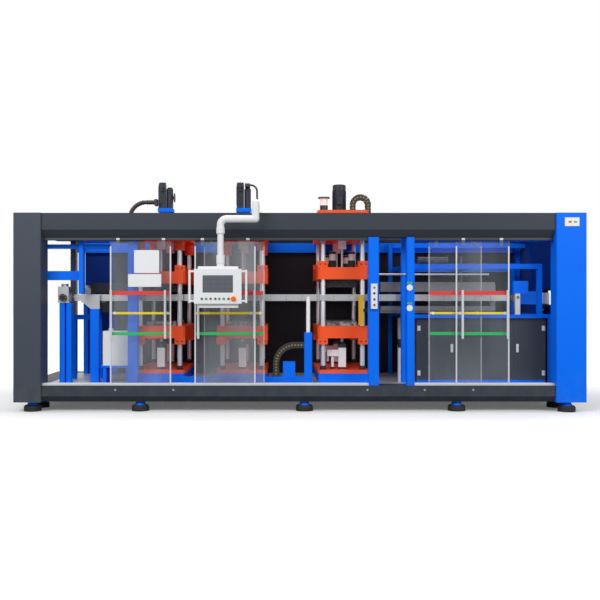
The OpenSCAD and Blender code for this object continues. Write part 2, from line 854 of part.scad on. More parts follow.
// Gearbox and bearing housings of the infeed shaft, with stepped caps
module infeed_gearbox() {
    x = rail_x0 - shaft_off;
    shift = 20;
    back = gearbox_front + gearbox_d;
    cap_d = 88;
    cap_t = 12;
    boss_h = 34;
    color(steel) both_sides() difference() {
        union() {
            upright(x - gearbox_w / 2 - shift, x + gearbox_w / 2 - shift, gearbox_front, back,
                gearbox_low, gearbox_low + gearbox_h);
            cross_bar(x, gearbox_front - cap_t, gearbox_front + cut, shaft_z, cap_d);
            cross_bar(x, gearbox_front - 2 * cap_t, gearbox_front, shaft_z, cap_d / 2);
            pillar(x - shift, gearbox_front + gearbox_d / 2, gearbox_low + gearbox_h - cut,
                gearbox_low + gearbox_h + boss_h, cap_d);
        }
        cross_bar(x, shaft_end - 10, back + cut, shaft_z, shaft_d + 2 * run_gap);
    }
}

module lubrication_unit() {
    low = shelf_z + shelf_t;
    cap_d = 60;
    color([0.78, 0.79, 0.8]) {
        upright(unit_x, unit_x + unit_w, unit_front, unit_front + unit_d, low, low + unit_h);
        pillar(unit_x + unit_w / 4, unit_front + unit_d / 2, low + unit_h, low + unit_h + cap_d / 2, cap_d);
    }
}

// Flat plate of platen size round a press's middle, with chamfered corners
module press_plate(x, z, t) {
    c = 3 * edge;
    l = platen_l / 2;
    w = platen_w / 2;
    translate([x, mid_y, z]) linear_extrude(t) polygon([
        [c - l, -w], [l - c, -w], [l, c - w], [l, w - c], [l - c, w], [c - l, w], [-l, w - c], [-l, c - w]]);
}

module press_frames() {
    color(orange) {
        for (i = [0 : 2]) {
            press_plate(station_x[i], bed_top - bed_t, bed_t);
            difference() {
                press_plate(station_x[i], crown_z, crown_t);
                for (p = rod_places()) translate([station_x[i] + p[0], mid_y + p[1], crown_z - cut])
                    cylinder(h = crown_t + 2 * cut, d = thrust_d + 2 * run_gap);
            }
        }
        for (i = [0, 1]) for (p = guide_places())
            translate([station_x[i] + p[0], mid_y + p[1], crown_z - sleeve_h])
                cylinder(h = sleeve_h - seam, d = sleeve_d);
        press_plate(station_x[2], carrier_z, carrier_t);
    }
}

// Legs under the beds with an apron at the front and at the rear
module press_sub_bases() {
    leg_in = 10;
    apron_t = 24;
    mid = platen_l / 2 - leg_in - sub_w / 2;
    inner = mid - sub_w / 2 - seam;
    color(azure) for (x = station_x) {
        for (s = [-1, 1]) block(x + s * mid - sub_w / 2, x + s * mid + sub_w / 2,
            press_front, frame_depth - press_front, base_top, base_top + sub_h);
        twin(x - inner, x + inner, press_front, press_front + apron_t, base_top, base_top + sub_h);
    }
}

module guide_columns() {
    tops = [crown_z - sleeve_h, crown_z - sleeve_h, crown_z];
    color(chrome) for (i = [0 : 2]) for (p = guide_places())
        translate([station_x[i] + p[0], mid_y + p[1], 0]) {
            translate([0, 0, bed_top]) cylinder(h = tops[i] - bed_top, d = guide_d);
            if (i == 2) translate([0, 0, crown_top]) cylinder(h = carrier_z - crown_top, d = guide_d);
        }
}

// Servo motor with cooling ribs and two plug sockets, its right side on the press's middle
module servo() {
    ribs = 9;
    rib_t = 8;
    rib_low = 30;
    rib_run = 0.7 * servo_h / ribs;
    cap_h = 26;
    socket_d = 34;
    translate([-servo_w, -servo_w / 2, 0]) cube([servo_w, servo_w, servo_h - cap_h]);
    translate([-servo_w / 2, 0, servo_h - cap_h]) cylinder(h = cap_h, d = servo_w - 4);
    for (i = [1 : ribs]) translate([-servo_left, -servo_w / 2 - rib_out, i * rib_run + rib_low])
        cube([servo_w + rib_out, servo_w + 2 * rib_out, rib_t]);
    for (z = [servo_h - 60, servo_h - 100]) translate([-servo_w / 2, -servo_w / 2, z]) rotate([90, 0, 0])
        cylinder(h = socket_d, d = socket_d);
}

// Upright motor over press 3: finned shell, end bell, fan cover and terminal box
module big_motor() {
    r = big_motor_d / 2;
    bell = 34;
    cover = 74;
    fins = 20;
    fin_t = 4;
    fin_out = 8;
    fin_room = 4;
    box = [70, 46, 96];
    rotate_extrude() polygon([
        [0, 0], [r + fin_out, 0], [r + fin_out, bell / 2], [r, bell], [r, big_motor_h - cover],
        [r + fin_out / 2, big_motor_h - cover], [r + fin_out / 2, big_motor_h - fin_out],
        [r - fin_out, big_motor_h], [0, big_motor_h]]);
    for (i = [0 : fins - 1]) rotate(i * 360 / fins) translate([r - fin_t, -fin_t / 2, bell + fin_room])
        cube([fin_t + fin_out, fin_t, big_motor_h - cover - bell - 2 * fin_room]);
    translate([-box[0] / 2, -r - box[1] + fin_out, bell + 90]) cube(box);
}

module drive_motors() {
    wheel_d = 116;
    wheel_t = 12;
    wheel_z = 140;
    color(black) {
        for (i = [0, 1]) translate([station_x[i], mid_y, flange_top]) {
            servo();
            translate([reducer_mid, 0, 0]) cylinder(h = reducer_h, d = reducer_d);
            translate([reducer_mid, 0, reducer_h]) cylinder(h = reducer_cap, d = reducer_d - 20);
        }
        // hand wheel on the first drive
        translate([station_x[0] + reducer_mid, mid_y, flange_top + wheel_z]) rotate([0, 90, 0]) {
            cylinder(h = reducer_d / 2 + 2 * wheel_t, d = wheel_d / 3);
            translate([0, 0, reducer_d / 2 + wheel_t]) cylinder(h = wheel_t, d = wheel_d);
        }
        translate([station_x[2], mid_y, carrier_top]) big_motor();
    }
}

module motor_flanges() {
    color(azure) for (i = [0, 1]) translate([station_x[i], mid_y, 0]) {
        translate([-stand_w / 2, -stand_w / 2, crown_top]) cube([stand_w, stand_w,
            flange_z - seam - crown_top]);
        translate([-flange_w / 2, -flange_w / 2, flange_z]) cube([flange_w, flange_w, flange_t]);
    }
}

// Square barrel with a bore for its rod; a floor below zero opens both ends
module barrel(side, h, rod, floor_t) {
    difference() {
        translate([-side / 2, -side / 2, 0]) cube([side, side, h]);
        translate([0, 0, floor_t]) cylinder(h = h + 2 * cut, d = rod + 2 * run_gap);
    }
}

// Air reservoir between two plates with tie rods
module reservoir() {
    plate_d = 150;
    plate_t = 14;
    tank_d = 100;
    tank_h = 186;
    tie_d = 10;
    cylinder(h = plate_t, d = plate_d);
    translate([0, 0, plate_t]) cylinder(h = tank_h, d = tank_d);
    translate([0, 0, plate_t + tank_h]) cylinder(h = plate_t, d = plate_d);
    for (a = [45 : 90 : 315]) rotate(a) translate([tank_d / 2 + tie_d, 0, plate_t])
        cylinder(h = tank_h, d = tie_d);
}

module air_cylinders() {
    tower_d = 80;
    tower_x = post_b_x + 2;
    tower_depth = bay_back + tower_d / 2 + 5;
    tower_top = 790;
    floor_t = 14;
    stacker_h = bay_low - 8 - base_top;
    stand_mid = rail_stand_x + rail_stand_w / 2;
    valve = [138, 70, 78];
    valve_post = 36;
    valve_off = 116;
    color(white) {
        for (x = station_x) for (p = rod_places()) translate([x + p[0], mid_y + p[1], 0]) {
            translate([0, 0, bed_top]) barrel(lift_body, lift_h, lift_d, floor_t);
            translate([0, 0, crown_z]) mirror([0, 0, 1]) barrel(thrust_body, thrust_h, thrust_d, -cut);
        }
        for (x = stacker_rod_x()) translate([x, mid_y, base_top]) barrel(lift_body, stacker_h, lift_d,
            floor_t);
        pillar(stand_mid, floor_rail_in + floor_rail_w / 2, rail_stand_top, rail_z + 51, rail_stand_w / 2);
        pillar(tower_x, tower_depth, base_top, tower_top, tower_d);
        translate([station_x[2] - 200, mid_y - 100, carrier_top]) reservoir();
        // valve blocks on posts beside the lift cylinders of press 3
        for (p = rod_places()) translate([station_x[2] - valve_off, mid_y + p[1], bed_top]) {
            cylinder(h = 2 * valve[2] + cut, d = valve_post);
            translate([-valve[0] / 2, -valve[1] / 2, 2 * valve[2]]) cube(valve);
        }
    }
}

module cabinet_body() {
    x1 = cab_x + cab_w;
    back = cab_front + cab_d;
    in0 = cab_x + cab_t + seam;
    in1 = x1 - cab_t - seam;
    plate = back - cab_t;
    drive_w = 50;
    drive_pitch = 58;
    drive_d = 120;
    row_d = 70;
    row_h = 110;
    color(charcoal) {
        block(cab_x, cab_x + cab_t, cab_front, back, base_top, cab_top);
        block(x1 - cab_t, x1, cab_front, back, base_top, cab_top);
        block(in0, in1, cab_front, back, base_top, base_top + cab_t);
        block(in0, in1, cab_front, back, cab_top - cab_t, cab_top);
        block(in0, in1, plate, back, base_top + cab_t + seam, cab_top - cab_t - seam);
        block(cab_x + cab_left_w + cab_gap, x1 - cab_right_w - cab_gap, cab_face, cab_front - seam,
            plinth_top + cab_gap, cab_top);
        // drives and terminal rows on the mounting plate
        for (i = [0 : 5]) block(in0 + drive_w + i * drive_pitch, in0 + 2 * drive_w + i * drive_pitch,
            plate - drive_d, plate - seam, base_top + cab_h * 0.56, base_top + cab_h * 0.84);
        for (z = [0.24, 0.55]) block(in1 - 5 * drive_pitch, in1 - drive_w, plate - row_d, plate - seam,
            base_top + cab_h * z, base_top + cab_h * z + row_h);
    }
}

// Leaf of a cabinet door with its hinge knuckles and lever handle
module cabinet_leaf(x0, x1, hinge_x, lever_x) {
    knuckle_d = 14;
    knuckle_h = 52;
    lever = [22, 16, 92];
    lever_z = base_top + cab_h / 2 - 20;
    room = 0.5;
    block(x0, x1, cab_face, cab_front - room, plinth_top + cab_gap, cab_top - cut);
    for (z = [base_top + 84, cab_top - 143]) pillar(hinge_x, cab_face, z, z + knuckle_h, knuckle_d);
    block(lever_x - lever[0] / 2, lever_x + lever[0] / 2, cab_face - lever[1], cab_face, lever_z,
        lever_z + lever[2]);
}

module cabinet_door_left() {
    x1 = cab_x + cab_left_w;
    color(charcoal) cabinet_leaf(cab_x, x1, cab_x, x1 - 41);
}

module cabinet_door_right() {
    x0 = cab_x + cab_w - cab_right_w;
    color(charcoal) cabinet_leaf(x0, cab_x + cab_w, cab_x + cab_w, x0 + 39);
}

module button_station() {
    color(white) upright(station_mid - station_w / 2, station_mid + station_w / 2,
        post_front - station_d, post_front,
        station_z[3] - station_over, station_z[0] + station_over);
}

module station_buttons() {
    face = post_front - station_d;
    color(green) for (z = station_z) cross_bar(station_mid, face - button_out, face, z, button_d);
}

// Pipe from the top beam forward and down to the arm's swivel
module pendant_mount() {
    pipe_z = frame_top + 90;
    back = front_y + beam_inset + beam_depth / 2;
    foot = [140, 120, 12];
    color(white) {
        translate([arm_x - foot[0] / 2, back - foot[1] / 2, frame_top]) cube(foot);
        translate([arm_x, back, frame_top + foot[2] - cut])
            cylinder(h = pipe_z - frame_top - foot[2] + cut, d = pipe_d);
        translate([arm_x, back, pipe_z]) sphere(d = pipe_d);
        translate([arm_x, arm_y, pipe_z]) rotate([-90, 0, 0]) cylinder(h = back - arm_y, d = pipe_d);
        translate([arm_x, arm_y, pipe_z]) sphere(d = pipe_d);
        translate([arm_x, arm_y, arm_z + swivel_h]) cylinder(h = pipe_z - arm_z - swivel_h, d = pipe_d);
    }
}

module pendant_arm() {
    bend = 70;
    low = box_top + drop_low;
    color(white) {
        translate([arm_x, arm_y, arm_z]) cylinder(h = swivel_h - swivel_gap, d = pipe_d);
        translate([arm_x, arm_y, arm_z]) sphere(d = pipe_d);
        translate([drop_x + bend, arm_y, arm_z]) rotate([0, 90, 0]) cylinder(h = arm_l - bend, d = pipe_d);
        translate([drop_x + bend, arm_y, arm_z - bend]) mirror([1, 0, 0]) elbow(bend, pipe_d);
        translate([drop_x, arm_y, low]) cylinder(h = arm_z - bend - low, d = drop_d);
        for (z = [low, arm_z - bend - collar_l]) translate([drop_x, arm_y, z])
            cylinder(h = collar_l, d = drop_d + collar_over);
    }
}

module pendant_box() {
    back_w = box_w - 80;
    grip = 52;
    grip_d = 26;
    foot_d = 22;
    foot_in = 28;
    color(white) {
        difference() {
            translate([box_mid - box_w / 2, box_front, box_z]) cube([box_w, box_face_t, box_h]);
            translate([box_mid - screen_w / 2, box_front - cut, screen_low])
                cube([screen_w, screen_pocket + cut, screen_h]);
            translate([stop_x, box_front - cut, row_z]) rotate([-90, 0, 0])
                cylinder(h = box_face_t - stop_root, d = stop_stem + 2 * run_gap);
        }
        translate([box_mid - back_w / 2, box_front + box_face_t, box_z - box_back_under])
            cube([back_w, box_d - box_face_t, box_h + box_back_under + box_back_over]);
        translate([drop_x, arm_y, box_top + box_back_over - cut])
            cylinder(h = drop_low - swivel_gap - box_back_over + cut, d = drop_d + collar_over);
        // side handles
        for (s = [-1, 1]) translate([box_mid + s * (box_w / 2 + grip), box_front + box_face_t / 2, 0]) {
            translate([0, 0, box_z + 8]) cylinder(h = box_h - 16, d = grip_d);
            for (z = [box_z + foot_in, box_top - foot_in]) translate([0, 0, z]) rotate([0, -s * 90, 0])
                cylinder(h = grip, d = foot_d);
        }
    }
}

module pendant_screen() {
    glass_t = 4;
    color([0.35, 0.37, 0.4])
        translate([box_mid - screen_w / 2 + seam, box_front + screen_pocket - glass_t, screen_low + seam])
        cube([screen_w - 2 * seam, glass_t, screen_h - 2 * seam]);
}

module pendant_buttons() {
    color(green) for (x = button_row) translate([box_mid + x, box_front, row_z]) rotate([90, 0, 0])
        cylinder(h = button_out, d = button_d);
}

// Mushroom head on a stem that runs in the control box
module emergency_stop() {
    reach = box_front - (front_y - pendant_reach);
    lip = 5;
    color([1.0, 0.3, 0.1]) translate([stop_x, box_front, row_z]) rotate([90, 0, 0]) rotate_extrude() polygon([
        [0, -stop_root], [stop_stem / 2, -stop_root], [stop_stem / 2, stop_head], [stop_d / 2, stop_head],
        [stop_d / 2, reach - lip], [stop_d / 2 - lip, reach], [0, reach]]);
}

// Pin across a cable chain
module chain_pin() {
    pin_over = 6;
    rotate([90, 0, 0]) cylinder(h = chain_w + pin_over, d = chain_t * 0.4, center = true);
}

// A cable chain link along +X with the pin at its far end
module chain_link(pitch) {
    c = chain_t / 12;
    l = pitch - link_gap;
    h = chain_t / 2;
    translate([0, chain_w / 2, 0]) rotate([90, 0, 0]) linear_extrude(chain_w) polygon([
        [0, c - h], [c, -h], [l - c, -h], [l, c - h], [l, h - c], [l - c, h], [c, h], [0, h - c]]);
    translate([pitch - link_gap / 2, 0, 0]) chain_pin();
}

// A straight run of cable chain along +X
module chain_run(run) {
    n = max(1, round(run / chain_pitch));
    for (i = [0 : n - 1]) translate([i * run / n, 0, 0]) chain_link(run / n);
}

// A bend of cable chain round Y, from +X up, with pins between its links
module chain_bend(r, angle) {
    n = round(r * angle * PI / 180 / chain_pitch);
    step = angle / n;
    gap = link_gap * 180 / PI / r;
    for (i = [0 : n - 1]) rotate([0, -i * step, 0]) {
        rotate([90, 0, 0]) rotate_extrude(angle = step - gap) translate([r - chain_t / 2, -chain_w / 2])
            square([chain_t, chain_w]);
        if (i < n - 1) rotate([0, gap / 2 - step, 0]) translate([r, 0, 0]) chain_pin();
    }
}

// Ribs of a flexible conduit along +Z
module conduit_ribs(run, d) {
    pitch = 28;
    rib = 10;
    for (z = [pitch / 2 : pitch : run - rib]) translate([0, 0, z]) cylinder(h = rib, d = d + rib);
}

// Ribbed conduit from the first drive to the duct
module drive_conduit() {
    x = station_x[0] - servo_left - seam;
    z = flange_top + 68;
    turn = 200;
    run = 140;
    step = 8;
    rib = 10;
    gland = [32, duct_w / 2 + stand_w / 2, 80];
    translate([x - gland[0], -conduit_d / 2, z - gland[2] / 2]) cube(gland);
    translate([x - run, 0, z]) rotate([0, 90, 0]) {
        cylinder(h = run, d = conduit_d);
        conduit_ribs(run - gland[0], conduit_d);
    }
    translate([x - run, 0, z - turn]) mirror([1, 0, 0]) {
        elbow(turn, conduit_d);
        for (a = [step : step : 90 - step]) rotate([0, -a, 0]) translate([turn, 0, -rib / 2])
            cylinder(h = rib, d = conduit_d + rib);
    }
    translate([x - run - turn, 0, duct_top - cut]) {
        cylinder(h = z - turn - duct_top + cut, d = conduit_d);
        conduit_ribs(z - turn - duct_top, conduit_d);
    }
}

// Feed conduit from the second drive's terminal box to the duct
module feed_conduit() {
    x = station_x[1] + reducer_mid + 32;
    y = mid_y - stand_w / 2 - feed_d;
    z = flange_top + reducer_h + reducer_cap;
    turn = 80;
    run = 10;
    box = [64, stand_w / 2 + reducer_d / 2, 40];
    translate([x, y, z]) {
        translate([-box[0], -feed_d, 0]) cube(box);
        translate([-cut, 0, box[2] / 2]) rotate([0, 90, 0]) cylinder(h = run + cut, d = feed_d);
        translate([run, 0, box[2] / 2 - turn]) elbow(turn, feed_d);
    }
    translate([x + run + turn, y, duct_top - cut]) cylinder(h = z + box[2] / 2 - turn - duct_top + cut,
        d = feed_d);
}

// Cable duct on the crowns, conduits, and two chains of linked plates
module cable_guides() {
    duct_x = station_x[0] - 500;
    duct_end = station_x[2] + 420;
    arch_x = station_x[2] + 255;
    arch_z = carrier_top + 115;
    chain_x = rail_stand_x - 335;
    chain_rise = 150;
    color(black) {
        translate([duct_x, duct_mid - duct_w / 2, crown_top]) cube([duct_end - duct_x, duct_w, duct_w]);
        translate([0, duct_mid, 0]) drive_conduit();
        feed_conduit();
        // arch over press 3
        translate([arch_x, duct_mid, 0]) {
            translate([0, 0, arch_z]) chain_bend(arch_r, 180);
            translate([-arch_r, 0, carrier_top]) rotate([0, -90, 0]) chain_run(arch_z - carrier_top);
            translate([arch_r, 0, duct_top + seam]) rotate([0, -90, 0]) chain_run(arch_z - duct_top - seam);
        }
        // bend between the floor rail and the rail stand
        translate([chain_x, front_y + floor_rail_in + floor_rail_w / 2, floor_rail_top]) {
            rotate([0, -90, 0]) chain_run(chain_rise);
            translate([bend_r, 0, chain_rise]) mirror([1, 0, 0]) chain_bend(bend_r, 90);
            translate([rail_stand_x - chain_x, 0, chain_rise + bend_r]) rotate(180)
                chain_run(rail_stand_x - chain_x - bend_r);
        }
    }
}

// Yellow guard bar on an angle bracket behind post A
module light_guard() {
    bar = [55, 37, 353];
    bar_x = post_a_x - 89;
    bar_z = 996;
    gap = 18;
    arm_t = 12;
    arm_h = 40;
    back = press_front - gap;
    arm_z0 = bar_z + bar[2] / 2 - arm_h / 2;
    arm_x1 = post_a_x + post_a_w / 2;
    color([0.95, 0.8, 0.1]) {
        block(bar_x, bar_x + bar[0], back - bar[1], back, bar_z, bar_z + bar[2]);
        block(bar_x + bar[0], arm_x1, back - 2 * arm_t, back - arm_t, arm_z0, arm_z0 + arm_h);
        block(arm_x1 - arm_t, arm_x1, post_back, back - arm_t, arm_z0, arm_z0 + arm_h);
    }
}

module heater_banks() {
    x0 = along(heater_at);
    x1 = press_left(0) - heater_room;
    spacer = 60;
    back = frame_depth - rail_front;
    color(charcoal) {
        for (z = [rail_top + heater_gap, rail_z - heater_gap - heater_h])
            block(x0, x1, rail_front, back, z, z + heater_h);
        for (x = [x0, x1 - spacer]) for (z = [rail_top, rail_z - heater_gap])
            twin(x, x + spacer, rail_front, rail_front + rail_w, z, z + heater_gap);
    }
}

// Bearings of the outfeed shaft, roller bar, rail motor and end motor
module stack_guides() {
    bearing_w = 36;
    bar_d = 24;
    bar_z = up(roller_bar_at);
    motor_d = 80;
    end_motor_x = bay_right - 50;
    end_motor = [93, 200, 70, 104];
    end_depth = 700;
    color(steel) {
        long_bar(cab_x + 8, cab_x + 368, bay_front + tube / 2, bay_mid + tube + motor_d / 2, motor_d);
        long_bar(post_a_x + post_a_w + 20, cab_x + cab_w * 0.55, bay_front - bar_d / 2, bar_z, bar_d);
        both_sides() difference() {
            upright(rail_x1 + shaft_off - bearing_w, rail_x1 + shaft_off + bearing_w, bay_front, bay_back,
                bay_low_top, bearing_top);
            cross_bar(rail_x1 + shaft_off, bay_front - cut, bay_back + cut, shaft_z, shaft_d + 2 * run_gap);
        }
        pillar(end_motor_x, end_depth, bay_low_top, bay_low_top + end_motor[1], end_motor[0]);
        pillar(end_motor_x, end_depth, bay_low_top + end_motor[1],
            bay_low_top + end_motor[1] + end_motor[3], end_motor[2]);
    }
}

// Platen with four guide bosses; bosses point up when side is 1 and down when side is -1
module platen(x, z, side) {
    boss_z = side > 0 ? z + platen_t : z - boss_h;
    color(orange) difference() {
        union() {
            press_plate(x, z, platen_t);
            for (sx = [-1, 1]) for (sy = [-1, 1])
                translate([x + sx * (platen_l - boss_l) / 2 - boss_l / 2,
                    mid_y + sy * (platen_w - boss_w) / 2 - boss_w / 2, boss_z])
                    cube([boss_l, boss_w, boss_h]);
        }
        for (p = guide_places()) translate([x + p[0], mid_y + p[1], z - boss_h - cut])
            cylinder(h = platen_t + 2 * boss_h + 2 * cut, d = guide_d + 2 * run_gap);
    }
}

// Tool plate and thrust rods of an upper platen
module upper_tool(i) {
    rod_top = crown_z + 20;
    low = upper_z[i] + platen_t;
    color(steel) translate([station_x[i], mid_y, 0]) {
        translate([-tool_l / 2, -tool_w / 2, upper_z[i] - upper_tool_t]) cube([tool_l, tool_w, upper_tool_t]);
        for (p = rod_places()) translate([p[0], p[1], low]) cylinder(h = rod_top - low, d = thrust_d);
        if (i == 2) for (p = rod_places()) for (s = [-1, 1])
            translate([s * plug_span / 2, p[1], low]) cylinder(h = plug_h, d = plug_d);
    }
}

// Tool plate and lift rods of a lower platen
module lower_tool(i) {
    rod_low = bed_top + 20;
    color(steel) translate([station_x[i], mid_y, 0]) {
        translate([-tool_l / 2, -tool_w / 2, lower_top]) cube([tool_l, tool_w, lower_tool_t]);
        for (p = rod_places()) translate([p[0], p[1], rod_low])
            cylinder(h = lower_top - platen_t - rod_low, d = lift_d);
    }
}

module door_sheet(i) {
    d = door_depth(i);
    x0 = doors[i][0] + strip_w + seam;
    x1 = doors[i][0] + doors[i][1] - strip_w - seam;
    color([0.6, 0.65, 0.7, 0.4]) block(x0, x1, d, d + sheet_t, door_low, sheet_high);
}

// Edge strips, hangers, rollers and pull handles of one door
module door_trim(i) {
    x0 = doors[i][0];
    x1 = x0 + doors[i][1];
    d = door_depth(i);
    back = d + sheet_t;
    lip = 2;
    roller_d = 22;
    roller_w = 15;
    roller_z = door_high + 5.3 + roller_d / 2;
    strap_w = 40;
    strap_t = 5;
    strap_in = 90;
    foot_in = 40;
    color(white) {
        for (x = [x0, x1 - strip_w]) block(x, x + strip_w, d - lip, back + lip, door_low, sheet_high);
        for (x = [x0 + strap_in, x1 - strap_in]) {
            block(x - strap_w / 2, x + strap_w / 2, back + seam, back + strap_t, sheet_high - 54,
                door_high + 24);
            cross_bar(x, back + strap_t, back + strap_t + roller_w, roller_z, roller_d);
        }
        for (h = doors[i][3]) {
            pillar(x0 + h, d - handle_off, handle_z, handle_z + handle_l, handle_d);
            for (z = [handle_z + foot_in, handle_z + handle_l - foot_in])
                cross_bar(x0 + h, d - handle_off, d, z, handle_d - 8);
        }
    }
}

// Shaft with a toothed sprocket at each rail
module feed_shaft(x) {
    half = rail_y + shaft_over;
    tooth = 12;
    disc_t = 16;
    root = sprocket_d / 2 - tooth;
    foot = 10;
    tip = 4;
    color(steel) translate([x, mid_y, shaft_z]) rotate([-90, 0, 0]) {
        translate([0, 0, -half]) cylinder(h = 2 * half, d = shaft_d);
        for (s = [-1, 1]) translate([0, 0, s * rail_y - disc_t / 2]) {
            cylinder(h = disc_t, r = root);
            for (t = [0 : sprocket_teeth - 1]) rotate(t * 360 / sprocket_teeth) linear_extrude(disc_t)
                polygon([
                [root - tip, -foot], [sprocket_d / 2, -tip], [sprocket_d / 2, tip], [root - tip, foot]]);
        }
    }
}

// Stepped stacker plate, its narrow side on top when side is 1
module stack_plate(z, t, side) {
    mid = frame_depth / 2;
    half = tool_w / 2;
    neck = side > 0 ? z + t - stack_step : z + stack_step;
    ends = side > 0 ? [z, z + t] : [z + t, z];
    along_x(stack_x, stack_x + stack_l, [
        [mid - half, ends[0]], [mid - half, neck], [mid - half + stack_step, neck],
            [mid - half + stack_step, ends[1]],
        [mid + half - stack_step, ends[1]], [mid + half - stack_step, neck], [mid + half, neck],
            [mid + half, ends[0]]]);
}

module upper_stacker() {
    rod_top = bay_mid + tube + stack_rod_over;
    color(steel) {
        stack_plate(stack_up_z, stack_up_t, 1);
        for (x = stacker_rod_x()) pillar(x, frame_depth / 2, stack_up_z + stack_up_t - cut, rod_top,
            thrust_d);
    }
}

module lower_stacker() {
    color(steel) {
        stack_plate(stack_low_z, stack_low_t, -1);
        for (x = stacker_rod_x()) pillar(x, frame_depth / 2, stack_rod_low, stack_low_z + cut, lift_d);
    }
}

left_columns();
right_columns();
top_beams();
base_beams();
floor_plate();
foot_pads();
foot_collars();
door_tracks();
inner_frame();
rear_panels();
chain_rails();
infeed_gearbox();
lubrication_unit();
press_frames();
press_sub_bases();
guide_columns();
drive_motors();
motor_flanges();
air_cylinders();
cabinet_body();
button_station();
station_buttons();
pendant_mount();
cable_guides();
light_guard();
heater_banks();
stack_guides();
platen(station_x[0], upper_z[0], 1);  // upper_platen_1
platen(station_x[1], upper_z[1], 1);  // upper_platen_2
platen(station_x[2], upper_z[2], 1);  // upper_platen_3
platen(station_x[0], lower_top - platen_t, -1);  // lower_platen_1
platen(station_x[1], lower_top - platen_t, -1);  // lower_platen_2
platen(station_x[2], lower_top - platen_t, -1);  // lower_platen_3
upper_tool(0);  // upper_tool_1
upper_tool(1);  // upper_tool_2
upper_tool(2);  // upper_tool_3
lower_tool(0);  // lower_tool_1
lower_tool(1);  // lower_tool_2
lower_tool(2);  // lower_tool_3
door_sheet(0);  // door_1_sheet
door_sheet(1);  // door_2_sheet
door_sheet(2);  // door_3_sheet
door_sheet(3);  // door_4_sheet
door_sheet(4);  // door_5_sheet
door_trim(0);  // door_1_trim
door_trim(1);  // door_2_trim
door_trim(2);  // door_3_trim
door_trim(3);  // door_4_trim
door_trim(4);  // door_5_trim
feed_shaft(rail_x0 - shaft_off);  // infeed_shaft
feed_shaft(rail_x1 + shaft_off);  // outfeed_shaft
upper_stacker();
lower_stacker();
cabinet_door_left();
cabinet_door_right();
pendant_arm();
pendant_box();
pendant_screen();
pendant_buttons();
emergency_stop();
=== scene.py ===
import math
import bpy
import bmesh
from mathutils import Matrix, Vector


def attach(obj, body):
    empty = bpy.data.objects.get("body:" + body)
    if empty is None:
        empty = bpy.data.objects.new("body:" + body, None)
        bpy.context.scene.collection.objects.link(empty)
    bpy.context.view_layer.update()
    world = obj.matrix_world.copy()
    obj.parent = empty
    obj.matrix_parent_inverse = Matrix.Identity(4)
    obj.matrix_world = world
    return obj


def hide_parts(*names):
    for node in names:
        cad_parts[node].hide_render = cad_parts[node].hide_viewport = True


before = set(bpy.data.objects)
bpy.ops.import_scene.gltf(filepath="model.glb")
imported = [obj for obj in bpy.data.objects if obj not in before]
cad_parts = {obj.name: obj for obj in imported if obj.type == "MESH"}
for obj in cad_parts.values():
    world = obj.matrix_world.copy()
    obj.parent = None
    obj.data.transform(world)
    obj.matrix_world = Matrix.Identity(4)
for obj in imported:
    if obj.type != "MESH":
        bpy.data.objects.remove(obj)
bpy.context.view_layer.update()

frontY = -0.835                       # face of the end columns
midY = 0.165                          # middle of the presses, front to back
backY = 2 * midY - frontY
pressX = (-1.670, -0.682, 0.528)      # middles of the three presses
upward, forward = (0, 0, 1), (0, -1, 0)
print("frame loaded:", len(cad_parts), "nodes")


# shader maths on sockets
class Val:
    def __init__(self, finish, socket):
        self.finish = finish
        self.socket = socket

    def sum(self, way, a, b):
        return self.finish.add("ShaderNodeMath", {"operation": way}, {0: a, 1: b})

    def __add__(self, other): return self.sum("ADD", self, other)
    def __radd__(self, other): return self.sum("ADD", other, self)
    def __sub__(self, other): return self.sum("SUBTRACT", self, other)
    def __rsub__(self, other): return self.sum("SUBTRACT", other, self)
    def __mul__(self, other): return self.sum("MULTIPLY", self, other)
    def __rmul__(self, other): return self.sum("MULTIPLY", other, self)
    def __gt__(self, other): return self.sum("GREATER_THAN", self, other)
    def __lt__(self, other): return self.sum("LESS_THAN", self, other)


class Finish:
    def __init__(self, name):
        self.mat = bpy.data.materials.new(name)
        self.mat.use_nodes = True
        self.mat.node_tree.nodes.clear()
        self.place = self.add("ShaderNodeTexCoord", out="Object")

    # one node: its settings first, then the values or links of its sockets
    def add(self, kind, settings=None, sockets=None, out=0):
        tree = self.mat.node_tree
        node = tree.nodes.new(kind)
        for key, value in (settings or {}).items():
            setattr(node, key, value)
        for key, value in (sockets or {}).items():
            if isinstance(value, Val):
                tree.links.new(value.socket, node.inputs[key])
            else:
                node.inputs[key].default_value = value
        return Val(self, node.outputs[out]) if node.outputs else None

    def maths(self, way, value):
        return self.add("ShaderNodeMath", {"operation": way}, {0: value})

    def axis(self, number):
        return self.add("ShaderNodeSeparateXYZ", None, {0: self.place}, number)

    def stretched(self, scale):
        return self.add("ShaderNodeMapping", None, {"Vector": self.place, "Scale": scale})

    def noise(self, scale, detail, where=None):
        return self.add("ShaderNodeTexNoise", None,
                        {"Vector": where or self.place, "Scale": scale, "Detail": detail})

    def ramp(self, value, low, high):
        return self.add("ShaderNodeMapRange", {"interpolation_type": "SMOOTHSTEP"},
                        {"Value": value, "From Min": low, "From Max": high})

    def mix(self, share, a, b):
        return self.add("ShaderNodeMix", {"data_type": "RGBA"}, {0: share, 6: a, 7: b}, 2)

    def bump(self, height, strength, depth):
        return self.add("ShaderNodeBump", None, {"Height": height, "Strength": strength, "Distance": depth})

    def done(self, sockets):
        shader = self.add("ShaderNodeBsdfPrincipled", None, sockets)
        self.add("ShaderNodeOutputMaterial", None, {"Surface": shader})
        return self.mat


def srgb(r, g, b):
    def linear(c):
        c /= 255
        return c / 12.92 if c <= 0.04045 else ((c + 0.055) / 1.055) ** 2.4
    return (linear(r), linear(g), linear(b), 1.0)


